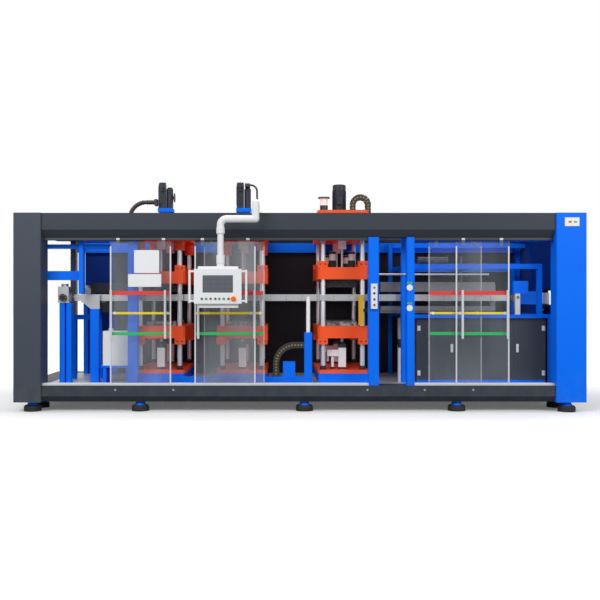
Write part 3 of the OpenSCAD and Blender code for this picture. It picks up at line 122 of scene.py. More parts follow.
def shade(colour, k):
    return (colour[0] * k, colour[1] * k, colour[2] * k, 1.0)


def grey(level):
    return (level, level, level, 1)


blackPart = srgb(34, 35, 39)

# in the looks, a noise is (scale, detail), an edge or a height is (from, to) and a run stretches the noise
spray = {"drift": (1.3, 3), "driftRough": 0.10, "grain": (420, 2), "peelDepth": 0.0006, "coatRough": 0.18,
         "rub": (5.5, 9), "rubRun": (1, 1, 0.35), "rubEdge": (0.60, 0.78), "rubRough": 0.12,
         "dust": (9, 6), "dustEdge": (0.35, 0.75), "dustHeight": (0.55, 0.10),
         "dustTone": srgb(168, 166, 160)}


# sprayed sheet metal: slow drift of tone, spray grain, rubbed patches, floor dust
def sprayedPaint(name, look):
    f = Finish(name)
    drift = f.noise(*spray["drift"])
    grain = f.noise(*spray["grain"])
    rub = f.ramp(f.noise(*spray["rub"], f.stretched(spray["rubRun"])), *spray["rubEdge"])
    dust = f.ramp(f.axis(2), *spray["dustHeight"]) * f.ramp(f.noise(*spray["dust"]), *spray["dustEdge"])
    tone = f.mix(drift, shade(look["colour"], 1 - look["drift"]), shade(look["colour"], 1 + look["drift"]))
    tone = f.mix(rub * look["rub"], tone, look["rubbed"])
    if "paintedShade" in look:   # painted shade: the infeed wall panel and the end wall are darkened to navy
        shadedPanels = (f.axis(0) < look["infeedWall"][0]) * (f.axis(1) > look["infeedWall"][1])
        shadedPanels = shadedPanels + (f.axis(0) > look["endWall"])
        tone = f.mix(shadedPanels, tone, look["paintedShade"])
    for low, high, side in look.get("bands", ()):   # black caps, up to a place along X
        tone = f.mix((f.axis(2) > low) * (f.axis(2) < high) * (f.axis(0) < side), tone, blackPart)
    if "bracket" in look:   # black beyond a place along X
        tone = f.mix(f.axis(0) > look["bracket"], tone, blackPart)
    tone = f.mix(dust * look["dust"], tone, spray["dustTone"])
    rough = look["rough"] + spray["driftRough"] * drift + spray["rubRough"] * rub
    return f.done({"Base Color": tone, "Roughness": rough,
                   "Coat Weight": look["coat"] - look["coat"] * rub, "Coat Roughness": spray["coatRough"],
                   "Specular IOR Level": look["shine"],
                   "Normal": f.bump(grain, look["peel"], spray["peelDepth"])})


paints = {
    "charcoalPaint": {"colour": srgb(63, 70, 81), "rubbed": srgb(80, 86, 96), "rough": 0.46,
                      "drift": 0.05, "rub": 0.20, "dust": 0.06, "coat": 0.06, "peel": 0.16, "shine": 0.30},
    "beamPaint": {"colour": srgb(53, 59, 69), "rubbed": srgb(68, 74, 84), "rough": 0.48,
                  "drift": 0.05, "rub": 0.20, "dust": 0.05, "coat": 0.05, "peel": 0.16, "shine": 0.28},
    "azurePaint": {"colour": srgb(0, 114, 252), "rubbed": srgb(12, 126, 250), "rough": 0.46,
                   "drift": 0.05, "rub": 0.15, "dust": 0.05, "coat": 0.03, "peel": 0.14, "shine": 0.12},
    # innerPaint: azure, with painted shade turning the infeed wall panel and the end wall navy
    "innerPaint": {"colour": srgb(0, 114, 252), "rubbed": srgb(12, 126, 250), "rough": 0.46,
                   "drift": 0.05, "rub": 0.15, "dust": 0.05, "coat": 0.03, "peel": 0.14, "shine": 0.12,
                   "paintedShade": srgb(0, 44, 128), "infeedWall": (-2.35, 0.8885), "endWall": 3.0571},
    "orangePaint": {"colour": srgb(255, 88, 34), "rubbed": srgb(246, 116, 70), "rough": 0.38,
                    "drift": 0.06, "rub": 0.25, "dust": 0.06, "coat": 0.10, "peel": 0.18, "shine": 0.30},
    "panelPaint": {"colour": srgb(30, 31, 40), "rubbed": srgb(46, 48, 58), "rough": 0.52,
                   "drift": 0.10, "rub": 0.30, "dust": 0.10, "coat": 0.03, "peel": 0.20, "shine": 0.20},
    "whitePaint": {"colour": srgb(230, 231, 233), "rubbed": srgb(216, 217, 220), "rough": 0.42,
                   "drift": 0.02, "rub": 0.25, "dust": 0.10, "coat": 0.06, "peel": 0.10, "shine": 0.25},
    "cylinderPaint": {"colour": srgb(247, 247, 248), "rubbed": srgb(226, 227, 230), "rough": 0.34,
                      "drift": 0.03, "rub": 0.25, "dust": 0.10, "coat": 0.20, "peel": 0.10, "shine": 0.40,
                      "bands": ((0.440, 0.482, 1.0), (0.715, 0.800, 1.4),
                                (2.360, 2.482, 1.4), (2.571, 2.600, 1.4))},
    "greyPaint": {"colour": srgb(236, 236, 237), "rubbed": srgb(218, 219, 221), "rough": 0.40,
                  "drift": 0.03, "rub": 0.30, "dust": 0.15, "coat": 0.12, "peel": 0.14, "shine": 0.40},
    "motorPaint": {"colour": srgb(40, 45, 58), "rubbed": srgb(62, 68, 82), "rough": 0.44,
                   "drift": 0.10, "rub": 0.30, "dust": 0.10, "coat": 0.06, "peel": 0.30, "shine": 0.30},
    "yellowPaint": {"colour": srgb(244, 186, 20), "rubbed": srgb(226, 178, 60), "rough": 0.38,
                    "drift": 0.05, "rub": 0.30, "dust": 0.10, "coat": 0.15, "peel": 0.14, "shine": 0.40,
                    "bracket": 0.765},
}
paint = {name: sprayedPaint(name, look) for name, look in paints.items()}

brush = {"streak": (1.0, 5), "dark": 0.86, "light": 1.08, "streakDepth": 0.0004,
         "cloud": (4.0, 5), "cloudRough": 0.14, "smear": (11, 7), "smearEdge": (0.50, 0.72),
         "smearShare": 0.30, "smearTone": 0.72, "smearRough": 0.10}


# brushed and ground metals: streaks along one axis
def brushedMetal(name, look):
    f = Finish(name)
    streak = f.noise(*brush["streak"], f.stretched(look["run"]))
    cloud = f.noise(*brush["cloud"])
    smear = f.ramp(f.noise(*brush["smear"]), *brush["smearEdge"])
    tone = f.mix(streak, shade(look["colour"], brush["dark"]), shade(look["colour"], brush["light"]))
    tone = f.mix(smear * brush["smearShare"], tone, shade(look["colour"], brush["smearTone"]))
    rough = look["rough"] + brush["cloudRough"] * cloud + brush["smearRough"] * smear
    return f.done({"Base Color": tone, "Metallic": look["metal"], "Roughness": rough,
                   "Normal": f.bump(streak, look["depth"], brush["streakDepth"])})


metals = {
    "groundSteel": {"colour": srgb(192, 194, 197), "run": (6, 320, 320),
                    "metal": 0.85, "rough": 0.26, "depth": 0.12},
    "milledPlate": {"colour": srgb(122, 122, 125), "run": (260, 14, 260),
                    "metal": 0.60, "rough": 0.30, "depth": 0.14},
    "treadPlate": {"colour": srgb(214, 215, 218), "run": (30, 60, 60),
                   "metal": 0.45, "rough": 0.36, "depth": 0.10},
    "turnedSteel": {"colour": srgb(186, 188, 192), "run": (40, 500, 40),
                    "metal": 0.9, "rough": 0.24, "depth": 0.10},
}
metal = {name: brushedMetal(name, look) for name, look in metals.items()}

toolMarks = {"streak": (1.0, 5), "run": (260, 14, 260), "mottle": (24, 7), "mottleEdge": (0.40, 0.64),
             "rod": (srgb(184, 186, 190), srgb(214, 216, 220)), "plug": srgb(232, 233, 236),
             "plugAside": 0.060, "metal": 0.8, "rough": 0.34, "streakRough": 0.12, "depth": (0.12, 0.0004)}


# tools and guides: mottled plate between two heights, ground rods elsewhere, plugs beside the middle rod
def toolPlate(name, look):
    f = Finish(name)
    streak = f.noise(*toolMarks["streak"], f.stretched(toolMarks["run"]))
    mottle = f.ramp(f.noise(*toolMarks["mottle"]), *toolMarks["mottleEdge"])
    onPlate = (f.axis(2) > look["span"][0]) * (f.axis(2) < look["span"][1])
    tone = f.mix(streak, *toolMarks["rod"])
    bright = 1 - onPlate
    if "plugs" in look:
        middle, low, high = look["plugs"]
        aside = f.maths("ABSOLUTE", f.axis(0) - middle) > toolMarks["plugAside"]
        barrel = aside * (f.axis(2) > high)
        base = aside * (f.axis(2) > low) * (f.axis(2) < high)
        tone = f.mix(base, f.mix(barrel, tone, toolMarks["plug"]), blackPart)
        bright = bright * (1 - aside)
    tone = f.mix(onPlate, tone, f.mix(mottle, *look["plate"]))
    return f.done({"Base Color": tone, "Metallic": toolMarks["metal"] * bright,
                   "Roughness": toolMarks["rough"] + toolMarks["streakRough"] * streak,
                   "Normal": f.bump(streak, *toolMarks["depth"])})


tools = {
    "upperTool": {"span": (1.30, 1.62), "plate": (srgb(34, 36, 40), srgb(52, 54, 60))},
    "plugTool": {"span": (1.30, 1.62), "plate": (srgb(34, 36, 40), srgb(52, 54, 60)),
                 "plugs": (pressX[2], 1.680, 1.775)},
    "lowerTool": {"span": (0.88, 1.20), "plate": (srgb(78, 80, 85), srgb(172, 174, 178))},
    "guideBlock": {"span": (1.72, 1.82), "plate": (srgb(66, 70, 78), srgb(92, 97, 106))},
}
tool = {name: toolPlate(name, look) for name, look in tools.items()}

trackLook = {"streak": (1.0, 5), "run": (4, 300, 300), "split": 1.2, "metal": 0.55, "hangerDull": 0.45,
             "sill": (srgb(206, 208, 212), srgb(226, 228, 231)),
             "hanger": (srgb(46, 49, 55), srgb(58, 62, 69)),
             "rough": 0.36, "streakRough": 0.12, "depth": (0.08, 0.0004)}


# door track: blackened hanger above, bright drawn sill below
def doorTrack():
    f = Finish("doorTrack")
    streak = f.noise(*trackLook["streak"], f.stretched(trackLook["run"]))
    high = f.axis(2) > trackLook["split"]
    sill = f.mix(streak, *trackLook["sill"])
    hanger = f.mix(streak, *trackLook["hanger"])
    return f.done({"Base Color": f.mix(high, sill, hanger),
                   "Metallic": trackLook["metal"] - trackLook["hangerDull"] * high,
                   "Roughness": trackLook["rough"] + trackLook["streakRough"] * streak,
                   "Normal": f.bump(streak, *trackLook["depth"])})


# rodLook: metal at one half lets the pale tone show as diffuse white, a painted reflection
rodLook = {"wipe": (1.0, 4), "run": (90, 90, 3), "film": (7, 5), "filmEdge": (0.45, 0.75),
           "tone": (srgb(238, 239, 242), srgb(248, 248, 250)), "metal": 0.5,
           "rough": 0.10, "wipeRough": 0.03, "filmRough": 0.06, "depth": (0.02, 0.0002)}


# hard chrome with wiper marks along the stroke, only half metallic so that its pale tone shows as diffuse
# white: painted reflection of the white surroundings
def chromedRod():
    f = Finish("chromedRod")
    wipe = f.noise(*rodLook["wipe"], f.stretched(rodLook["run"]))
    film = f.ramp(f.noise(*rodLook["film"]), *rodLook["filmEdge"])
    return f.done({"Base Color": f.mix(wipe, *rodLook["tone"]), "Metallic": rodLook["metal"],
                   "Roughness": rodLook["rough"] + rodLook["wipeRough"] * wipe + rodLook["filmRough"] * film,
                   "Normal": f.bump(wipe, *rodLook["depth"])})


mould = {"drift": (3.0, 4), "dark": 0.93, "light": 1.06, "driftRough": 0.10,
         "grainDetail": 3, "grainDepth": 0.0005}


# moulded plastics and rubber
def moulded(name, look):
    f = Finish(name)
    grain = f.noise(look["grain"], mould["grainDetail"])
    drift = f.noise(*mould["drift"])
    tone = f.mix(drift, shade(look["colour"], mould["dark"]), shade(look["colour"], mould["light"]))
    return f.done({"Base Color": tone, "Roughness": look["rough"] + mould["driftRough"] * drift,
                   "Normal": f.bump(grain, look["depth"], mould["grainDepth"])})


plastics = {
    "padRubber": {"colour": srgb(42, 40, 41), "rough": 0.72, "grain": 260, "depth": 0.45},
    "chainPlastic": {"colour": srgb(50, 47, 43), "rough": 0.50, "grain": 300, "depth": 0.25},
    "whitePlastic": {"colour": srgb(233, 234, 236), "rough": 0.28, "grain": 500, "depth": 0.06},
    "redStripe": {"colour": srgb(226, 58, 56), "rough": 0.34, "grain": 400, "depth": 0.05},
    "yellowStripe": {"colour": srgb(238, 214, 44), "rough": 0.34, "grain": 400, "depth": 0.05},
    "greenStripe": {"colour": srgb(38, 184, 92), "rough": 0.34, "grain": 400, "depth": 0.05},
    "greenCap": {"colour": srgb(24, 150, 84), "rough": 0.22, "grain": 500, "depth": 0.04},
    "darkGreenCap": {"colour": srgb(30, 92, 70), "rough": 0.22, "grain": 500, "depth": 0.04},
    "redCap": {"colour": srgb(196, 38, 40), "rough": 0.22, "grain": 500, "depth": 0.04},
    "darkRedCap": {"colour": srgb(140, 40, 46), "rough": 0.22, "grain": 500, "depth": 0.04},
    "blackCap": {"colour": srgb(30, 31, 34), "rough": 0.26, "grain": 500, "depth": 0.04},
    "stopCap": {"colour": srgb(250, 100, 34), "rough": 0.24, "grain": 500, "depth": 0.04},
    "brassPin": {"colour": srgb(136, 122, 78), "rough": 0.34, "grain": 400, "depth": 0.05},
}
plastic = {name: moulded(name, look) for name, look in plastics.items()}

sheetLook = {"haze": (2.2, 6), "hazeRun": (1.0, 1.0, 0.30), "hazeEdge": (0.30, 0.80), "hazeFilm": 0.09,
             "bloom": (3.1, 5), "bloomHeight": (0.95, 0.35), "bloomEdge": (0.25, 0.70), "bloomFilm": 0.09,
             "scratch": (1.0, 3), "scratchRun": (180, 180, 1.2), "scratchEdge": (0.66, 0.80),
             "scratchFilm": 0.06, "film": 0.10, "cleanFrom": (1.0, 1.4), "cleaner": 0.55,
             "shine": 0.35, "index": 1.5,
             "tone": (srgb(150, 157, 164), srgb(188, 194, 199)), "rough": 0.08, "hazeRough": 0.10}


# clear guard sheet: see-through with wiped haze, haze that thickens towards the bottom and thin vertical
# scratches
def clearSheet():
    f = Finish("clearSheet")
    haze = f.ramp(f.noise(*sheetLook["haze"], f.stretched(sheetLook["hazeRun"])), *sheetLook["hazeEdge"])
    bloom = f.ramp(f.axis(2), *sheetLook["bloomHeight"])
    bloom = bloom * f.ramp(f.noise(*sheetLook["bloom"]), *sheetLook["bloomEdge"])
    scratch = f.noise(*sheetLook["scratch"], f.stretched(sheetLook["scratchRun"]))
    scratch = f.ramp(scratch, *sheetLook["scratchEdge"])
    clean = f.ramp(f.axis(0), *sheetLook["cleanFrom"])   # the outfeed doors are less worn
    film = sheetLook["film"] + sheetLook["hazeFilm"] * haze + sheetLook["scratchFilm"] * scratch
    film = film + sheetLook["bloomFilm"] * bloom
    return f.done({"Base Color": f.mix(haze, *sheetLook["tone"]),
                   "Alpha": film * (1 - sheetLook["cleaner"] * clean),
                   "Roughness": sheetLook["rough"] + sheetLook["hazeRough"] * haze,
                   "IOR": sheetLook["index"], "Specular IOR Level": sheetLook["shine"]})


trimLook = {"drift": (3.0, 4), "strap": (1.916, 1.990), "strapTone": srgb(120, 126, 132), "strapFade": 0.70,
            "strip": (srgb(206, 208, 212), srgb(222, 224, 227)), "rough": 0.32, "driftRough": 0.10,
            "grain": (500, 3), "depth": (0.06, 0.0005)}


# door trim: pale edge strips and rollers, see-through hanger straps
def doorTrim(name, look):
    f = Finish(name)
    drift = f.noise(*trimLook["drift"])
    strap = (f.axis(2) > trimLook["strap"][0]) * (f.axis(2) < trimLook["strap"][1])
    low = f.axis(2) < trimLook["strap"][0]
    tone = f.mix(strap, f.mix(drift, *trimLook["strip"]), trimLook["strapTone"])
    return f.done({"Base Color": tone, "Alpha": 1 - trimLook["strapFade"] * strap - look["fade"] * low,
                   "Roughness": trimLook["rough"] + trimLook["driftRough"] * drift,
                   "Normal": f.bump(f.noise(*trimLook["grain"]), *trimLook["depth"])})


trims = {"frontDoorTrim": {"fade": 0.0}, "rearDoorTrim": {"fade": 0.72}}
trim = {name: doorTrim(name, look) for name, look in trims.items()}

screenLook = {"low": (-1.0945, 1.376), "size": (0.339, 0.194), "header": 0.88, "tiles": 4,
              "tileU": (0.08, 0.92), "tileV": (0.12, 0.88), "tile": (srgb(84, 88, 96), srgb(91, 95, 104)),
              "headerTone": srgb(98, 103, 113), "glass": shade(srgb(60, 63, 70), 0.5), "glow": 0.62,
              "rough": 0.14, "smear": (6, 3), "smearRough": 0.05}


# touch screen: dark glass with a few plain tiles under a bar
def touchScreen():
    f = Finish("touchScreen")
    u = (f.axis(0) - screenLook["low"][0]) * (1 / screenLook["size"][0])
    v = (f.axis(2) - screenLook["low"][1]) * (1 / screenLook["size"][1])
    header = v > screenLook["header"]
    tileU = f.maths("FRACT", u * screenLook["tiles"])
    tileV = f.maths("FRACT", v * screenLook["tiles"])
    tile = (tileU > screenLook["tileU"][0]) * (tileU < screenLook["tileU"][1])
    tile = tile * (tileV > screenLook["tileV"][0]) * (tileV < screenLook["tileV"][1])
    tile = tile * (v < screenLook["header"])
    glow = f.mix(tile, *screenLook["tile"])
    glow = f.mix(header, glow, screenLook["headerTone"])
    smear = f.noise(*screenLook["smear"])
    return f.done({"Base Color": screenLook["glass"], "Emission Color": glow,
                   "Emission Strength": screenLook["glow"],
                   "Roughness": screenLook["rough"] + screenLook["smearRough"] * smear})


glassSheet = clearSheet()
screenGlass = touchScreen()
chrome = chromedRod()
trackMetal = doorTrack()
print("finishes made")

nodeFinish = {
    paint["charcoalPaint"]: ["left_columns", "cabinet_body", "cabinet_door_left", "cabinet_door_right"],
    paint["beamPaint"]: ["top_beams", "base_beams"],
    paint["azurePaint"]: ["right_columns", "press_sub_bases", "motor_flanges", "foot_collars"],
    paint["innerPaint"]: ["inner_frame"],
    paint["orangePaint"]: ["press_frames", "upper_platen_1", "upper_platen_2", "upper_platen_3",
                           "lower_platen_1", "lower_platen_2", "lower_platen_3"],
    paint["panelPaint"]: ["rear_panels", "heater_banks"],
    paint["cylinderPaint"]: ["air_cylinders"],
    paint["whitePaint"]: ["pendant_mount", "pendant_arm", "pendant_box"],
    paint["greyPaint"]: ["lubrication_unit"],
    paint["motorPaint"]: ["drive_motors"],
    paint["yellowPaint"]: ["light_guard"],
    metal["groundSteel"]: ["chain_rails", "infeed_gearbox"],
    metal["milledPlate"]: ["upper_stacker", "lower_stacker"],
    tool["upperTool"]: ["upper_tool_1", "upper_tool_2"],
    tool["plugTool"]: ["upper_tool_3"],
    tool["lowerTool"]: ["lower_tool_1", "lower_tool_2", "lower_tool_3"],
    tool["guideBlock"]: ["stack_guides"],
    trackMetal: ["door_tracks"],
    metal["treadPlate"]: ["floor_plate"],
    metal["turnedSteel"]: ["infeed_shaft", "outfeed_shaft"],
    chrome: ["guide_columns"],
    plastic["padRubber"]: ["foot_pads"],
    plastic["chainPlastic"]: ["cable_guides"],
    plastic["whitePlastic"]: ["button_station"],
    trim["frontDoorTrim"]: ["door_1_trim", "door_2_trim", "door_5_trim"],
    trim["rearDoorTrim"]: ["door_3_trim", "door_4_trim"],
    plastic["stopCap"]: ["emergency_stop"],
    glassSheet: ["door_1_sheet", "door_2_sheet", "door_3_sheet", "door_4_sheet", "door_5_sheet"],
    screenGlass: ["pendant_screen"],
}
for material, nodes in nodeFinish.items():
    for node in nodes:
        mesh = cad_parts[node].data
        mesh.materials.clear()
        mesh.materials.append(material)


# a bmesh block, optionally with rounded edges
def addBlock(bm, low, high, edge=0.0, slot=0):
    low, high = Vector(low), Vector(high)
    made = bmesh.ops.create_cube(bm, size=1)["verts"]
    bmesh.ops.scale(bm, vec=high - low, verts=made)
    bmesh.ops.translate(bm, vec=(low + high) / 2, verts=made)
    for face in {f for v in made for f in v.link_faces}:
        face.material_index = slot
    if edge:
        bmesh.ops.bevel(bm, geom=list({e for v in made for e in v.link_edges}), offset=edge, affect="EDGES",
                        segments=2, profile=0.5, material=-1)


# a drum along an axis, optionally with rounded rims
def addDrum(bm, start, axis, radius, length, sides=24, edge=0.0, slot=0):
    axis = Vector(axis).normalized()
    made = bmesh.ops.create_cone(bm, cap_ends=True, segments=sides, radius1=radius, radius2=radius,
                                 depth=length)["verts"]
    turn = Vector(upward).rotation_difference(axis).to_matrix()
    bmesh.ops.rotate(bm, cent=(0, 0, 0), matrix=turn, verts=made)
    bmesh.ops.translate(bm, vec=Vector(start) + axis * length / 2, verts=made)
    faces = {f for v in made for f in v.link_faces}
    for face in faces:
        face.material_index = slot
        face.smooth = len(face.verts) == 4
    if edge:
        rims = list({e for f in faces if len(f.verts) == sides for e in f.edges})
        bmesh.ops.bevel(bm, geom=rims, offset=edge, affect="EDGES", segments=2, profile=0.5, material=-1)


# a ring turned round an axis from a closed section of (radius, height) points
def addRing(bm, centre, axis, section, steps=24, slot=0):
    turn = Vector(upward).rotation_difference(Vector(axis)).to_matrix()
    points = [bm.verts.new(Vector(centre) + turn @ Vector((r, 0, h))) for r, h in section]
    edges = [bm.edges.new((a, b)) for a, b in zip(points, points[1:] + points[:1])]
    made = bmesh.ops.spin(bm, geom=points + edges, cent=centre, axis=turn @ Vector(upward), dvec=(0, 0, 0),
                          angle=math.tau, steps=steps, use_merge=True, use_duplicate=False)
    faces = {f for v in points for f in v.link_faces}
    faces |= {f for f in made["geom_last"] if isinstance(f, bmesh.types.BMFace)}
    for face in faces:
        face.material_index = slot


def makePiece(name, bm, materials, body):
    bmesh.ops.remove_doubles(bm, verts=bm.verts, dist=1e-6)
    bmesh.ops.recalc_face_normals(bm, faces=bm.faces)
    mesh = bpy.data.meshes.new(name)
    bm.to_mesh(mesh)
    bm.free()
    for material in materials:
        mesh.materials.append(material)
    piece = bpy.data.objects.new(name, mesh)
    bpy.context.collection.objects.link(piece)
    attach(piece, body)
    return piece


# colour bands across the doors, with small white knobs on the yellow one that stand for a painted highlight
# on the band
doorBands = {"left": (-2.199, -1.220, -1.116, 1.499, 1.807), "width": (0.708, 0.708, 0.708, 0.622, 0.622),
             "depth": (0.070, 0.070, 0.115, 0.115, 0.070), "inset": 0.0175, "thick": 0.0012, "edge": 0.0003,
             "red": (1.352, 1.398), "yellow": (1.128, 1.154), "green": (0.886, 0.921),
             "highlightKnob": 0.018, "highlightKnobIn": 0.035, "highlightKnobHigh": 0.005, "highlightKnobEdge": 0.0015}
bandFinish = [plastic[name] for name in ("redStripe", "yellowStripe", "greenStripe", "whitePlastic")]
for i in range(len(doorBands["left"])):
    bm = bmesh.new()
    x0 = doorBands["left"][i] + doorBands["inset"]
    x1 = doorBands["left"][i] + doorBands["width"][i] - doorBands["inset"]
    y1 = frontY + doorBands["depth"][i]
    y0 = y1 - doorBands["thick"]
    for slot, band in enumerate(("red", "yellow", "green")):
        addBlock(bm, (x0, y0, doorBands[band][0]), (x1, y1, doorBands[band][1]), doorBands["edge"], slot)
    # the white knobs are a painted highlight on the yellow band
    highlightKnobZ = sum(doorBands["yellow"]) / 2
    for x in (x0 + doorBands["highlightKnobIn"], x1 - doorBands["highlightKnobIn"]):
        addDrum(bm, (x, y0, highlightKnobZ), forward, doorBands["highlightKnob"], doorBands["highlightKnobHigh"], 24,
                doorBands["highlightKnobEdge"], 3)
    makePiece("door_bands_%d" % (i + 1), bm, bandFinish, "door_%d" % (i + 1))
print("door bands made")

# blank plates screwed to the first door
doorPlates = {"upper": ((-1.920, 1.606), (-1.628, 1.872)), "lower": ((-1.990, 1.446), (-1.604, 1.594)),
              "thick": 0.003, "edge": 0.001, "screw": 0.005, "screwIn": 0.014, "screwHigh": 0.002,
              "screwEdge": 0.0006}
bm = bmesh.new()
y1 = frontY + doorBands["depth"][0]
y0 = y1 - doorPlates["thick"]
screwIn = doorPlates["screwIn"]
for low, high in (doorPlates["upper"], doorPlates["lower"]):
    addBlock(bm, (low[0], y0, low[1]), (high[0], y1, high[1]), doorPlates["edge"])
    for x in (low[0] + screwIn, high[0] - screwIn):
        for z in (low[1] + screwIn, high[1] - screwIn):
            addDrum(bm, (x, y0, z), forward, doorPlates["screw"], doorPlates["screwHigh"], 12,
                    doorPlates["screwEdge"], 1)
makePiece("door_plates", bm, [plastic["whitePlastic"], metal["groundSteel"]], "door_1")

# bolts with washers along the base beams' upright faces
baseBolts = {"x": (-2.13, -1.46, 0.78, 1.44, 2.00), "z": 0.256, "set": 0.030, "radius": 0.008, "head": 0.006,
             "headEdge": 0.0012, "washer": 1.5, "washerHigh": 0.002, "washerEdge": 0.0006}
bm = bmesh.new()
for x in baseBolts["x"]:
    for y, way in ((frontY + baseBolts["set"], -1), (backY - baseBolts["set"], 1)):
        addDrum(bm, (x, y, baseBolts["z"]), (0, way, 0), baseBolts["radius"] * baseBolts["washer"],
                baseBolts["washerHigh"], 24, baseBolts["washerEdge"])
        addDrum(bm, (x, y + way * baseBolts["washerHigh"], baseBolts["z"]), (0, way, 0), baseBolts["radius"],
                baseBolts["head"], 6, baseBolts["headEdge"])
makePiece("base_bolts", bm, [metal["groundSteel"]], "frame")

# stepped seals round the guide columns' feet
guideSeals = {"spanX": 0.237, "spanY": 0.550, "radius": 0.0292, "low": 0.457, "high": 0.505, "wall": 0.010,
              "lip": 0.7, "step": (0.7, 0.76)}
bm = bmesh.new()
r, h = guideSeals["radius"], guideSeals["high"] - guideSeals["low"]
outer, inner = r + guideSeals["wall"], r + guideSeals["wall"] * guideSeals["lip"]
sealSection = [(r, 0), (outer, 0), (outer, h * guideSeals["step"][0]), (inner, h * guideSeals["step"][1]),
               (inner, h), (r, h)]
for x in pressX:
    for sx in (-1, 1):
        for sy in (-1, 1):
            at = (x + sx * guideSeals["spanX"], midY + sy * guideSeals["spanY"], guideSeals["low"])
            addRing(bm, at, upward, sealSection)
makePiece("guide_seals", bm, [plastic["padRubber"]], "frame")
print("bolts and seals made")

# rubber caps on the lift cylinders
liftCaps = {"span": 0.440, "z": 0.760, "inner": 0.0216, "outer": 0.043, "high": 0.026,
            "side": 0.6, "top": 0.82}
bm = bmesh.new()
r0, r1, h = liftCaps["inner"], liftCaps["outer"], liftCaps["high"]
capSection = [(r0, 0), (r1, 0), (r1, h * liftCaps["side"]), (r1 * liftCaps["top"], h), (r0, h)]
for x in pressX:
    for sy in (-1, 1):
        addRing(bm, (x, midY + sy * liftCaps["span"], liftCaps["z"]), upward, capSection)
makePiece("lift_caps", bm, [plastic["padRubber"]], "frame")

# black bases and steel heads of the plug cylinders on press 3
plugTrim = {"spanX": 0.116, "spanY": 0.440, "low": 1.687, "headLow": 1.853, "radius": 0.0402,
            "base": (0.006, 0.082, 0.086), "head": (0.004, 0.002, 0.026, 0.028)}
bm = bmesh.new()
r = plugTrim["radius"]
wall, side, top = plugTrim["base"]
baseSection = [(r, 0), (r + wall, 0), (r + wall, side), (r, top)]
wall, foot, side, top = plugTrim["head"]
headSection = [(r, 0), (r + wall, foot), (r + wall, side), (r, top)]
for sx in (-1, 1):
    for sy in (-1, 1):
        at = (pressX[2] + sx * plugTrim["spanX"], midY + sy * plugTrim["spanY"])
        addRing(bm, at + (plugTrim["low"],), upward, baseSection)
        addRing(bm, at + (plugTrim["headLow"],), upward, headSection, 24, 1)
makePiece("plug_trim", bm, [plastic["padRubber"], metal["groundSteel"]], "upper_press_3")

# socket screws on the platens' corner blocks
platenScrews = {"upperZ": (1.673, 1.673, 1.724), "lowerZ": 0.800, "out": 0.244, "apart": 0.030, "face": 0.620,
                "radius": 0.009, "head": 0.006, "edge": 0.0012}
for level in ("upper", "lower"):
    for i, x in enumerate(pressX):
        bm = bmesh.new()
        z = platenScrews["upperZ"][i] if level == "upper" else platenScrews["lowerZ"]
        for sx in (-1, 1):
            for sy in (-1, 1):
                for dx in (-1, 1):
                    at = (x + sx * platenScrews["out"] + dx * platenScrews["apart"],
                          midY + sy * platenScrews["face"], z)
                    addDrum(bm, at, (0, sy, 0), platenScrews["radius"], platenScrews["head"], 12,
                            platenScrews["edge"])
        makePiece("platen_screws_%s_%d" % (level, i + 1), bm, [plastic["blackCap"]],
                  "%s_press_%d" % (level, i + 1))

# black end rings of the outfeed motor
motorRings = {"at": (3.007, -0.135), "low": (1.126, 0.0466), "high": (1.388, 0.0351), "tall": 0.034,
              "wall": 0.0018, "edge": 0.001}
bm = bmesh.new()
for z, r in (motorRings["low"], motorRings["high"]):
    outer, h = r + motorRings["wall"], motorRings["tall"]
    addRing(bm, motorRings["at"] + (z,), upward,
            [(r, 0), (outer, motorRings["edge"]), (outer, h - motorRings["edge"]), (r, h)])
makePiece("outfeed_motor_rings", bm, [plastic["blackCap"]], "frame")

# terminal housing in front of the end motor: black base, pale body, black lid
motorHousing = {"x": (2.974, 3.050), "y": (-0.291, -0.181), "z": (1.195, 1.245, 1.383, 1.430), "lidIn": 0.010,
                "edge": 0.004}
bm = bmesh.new()
(x0, x1), (y0, y1) = motorHousing["x"], motorHousing["y"]
z0, z1, z2, z3 = motorHousing["z"]
lidIn, edge = motorHousing["lidIn"], motorHousing["edge"]
addBlock(bm, (x0, y0, z0), (x1, y1, z1), edge)
addBlock(bm, (x0, y0, z1), (x1, y1, z2), edge, 1)
addBlock(bm, (x0 + lidIn, y0 + lidIn, z2), (x1 - lidIn, y1 - lidIn, z3), edge)
makePiece("end_motor_housing", bm, [plastic["blackCap"], paint["greyPaint"]], "frame")

# bearing cover with its hub and bolts on the infeed gearbox
gearCover = {"at": (-2.805, -0.529, 1.3225), "radius": 0.046, "high": 0.012, "edge": 0.002, "hub": 0.5,
             "hubHigh": 0.010, "bolts": 6, "boltOut": 0.78, "boltRadius": 0.005, "boltHigh": 0.004,
             "boltEdge": 0.0008}
bm = bmesh.new()
cx, cy, cz = gearCover["at"]
faceY = cy - gearCover["high"]
addDrum(bm, gearCover["at"], forward, gearCover["radius"], gearCover["high"], 32, gearCover["edge"])
addDrum(bm, (cx, faceY, cz), forward, gearCover["radius"] * gearCover["hub"], gearCover["hubHigh"], 24,
        gearCover["edge"])
for k in range(gearCover["bolts"]):
    a = math.tau * k / gearCover["bolts"]
    out = gearCover["radius"] * gearCover["boltOut"]
    addDrum(bm, (cx + out * math.cos(a), faceY, cz + out * math.sin(a)), forward,
            gearCover["boltRadius"], gearCover["boltHigh"], 6, gearCover["boltEdge"], 1)
makePiece("gearbox_cover", bm, [plastic["blackCap"], metal["groundSteel"]], "frame")

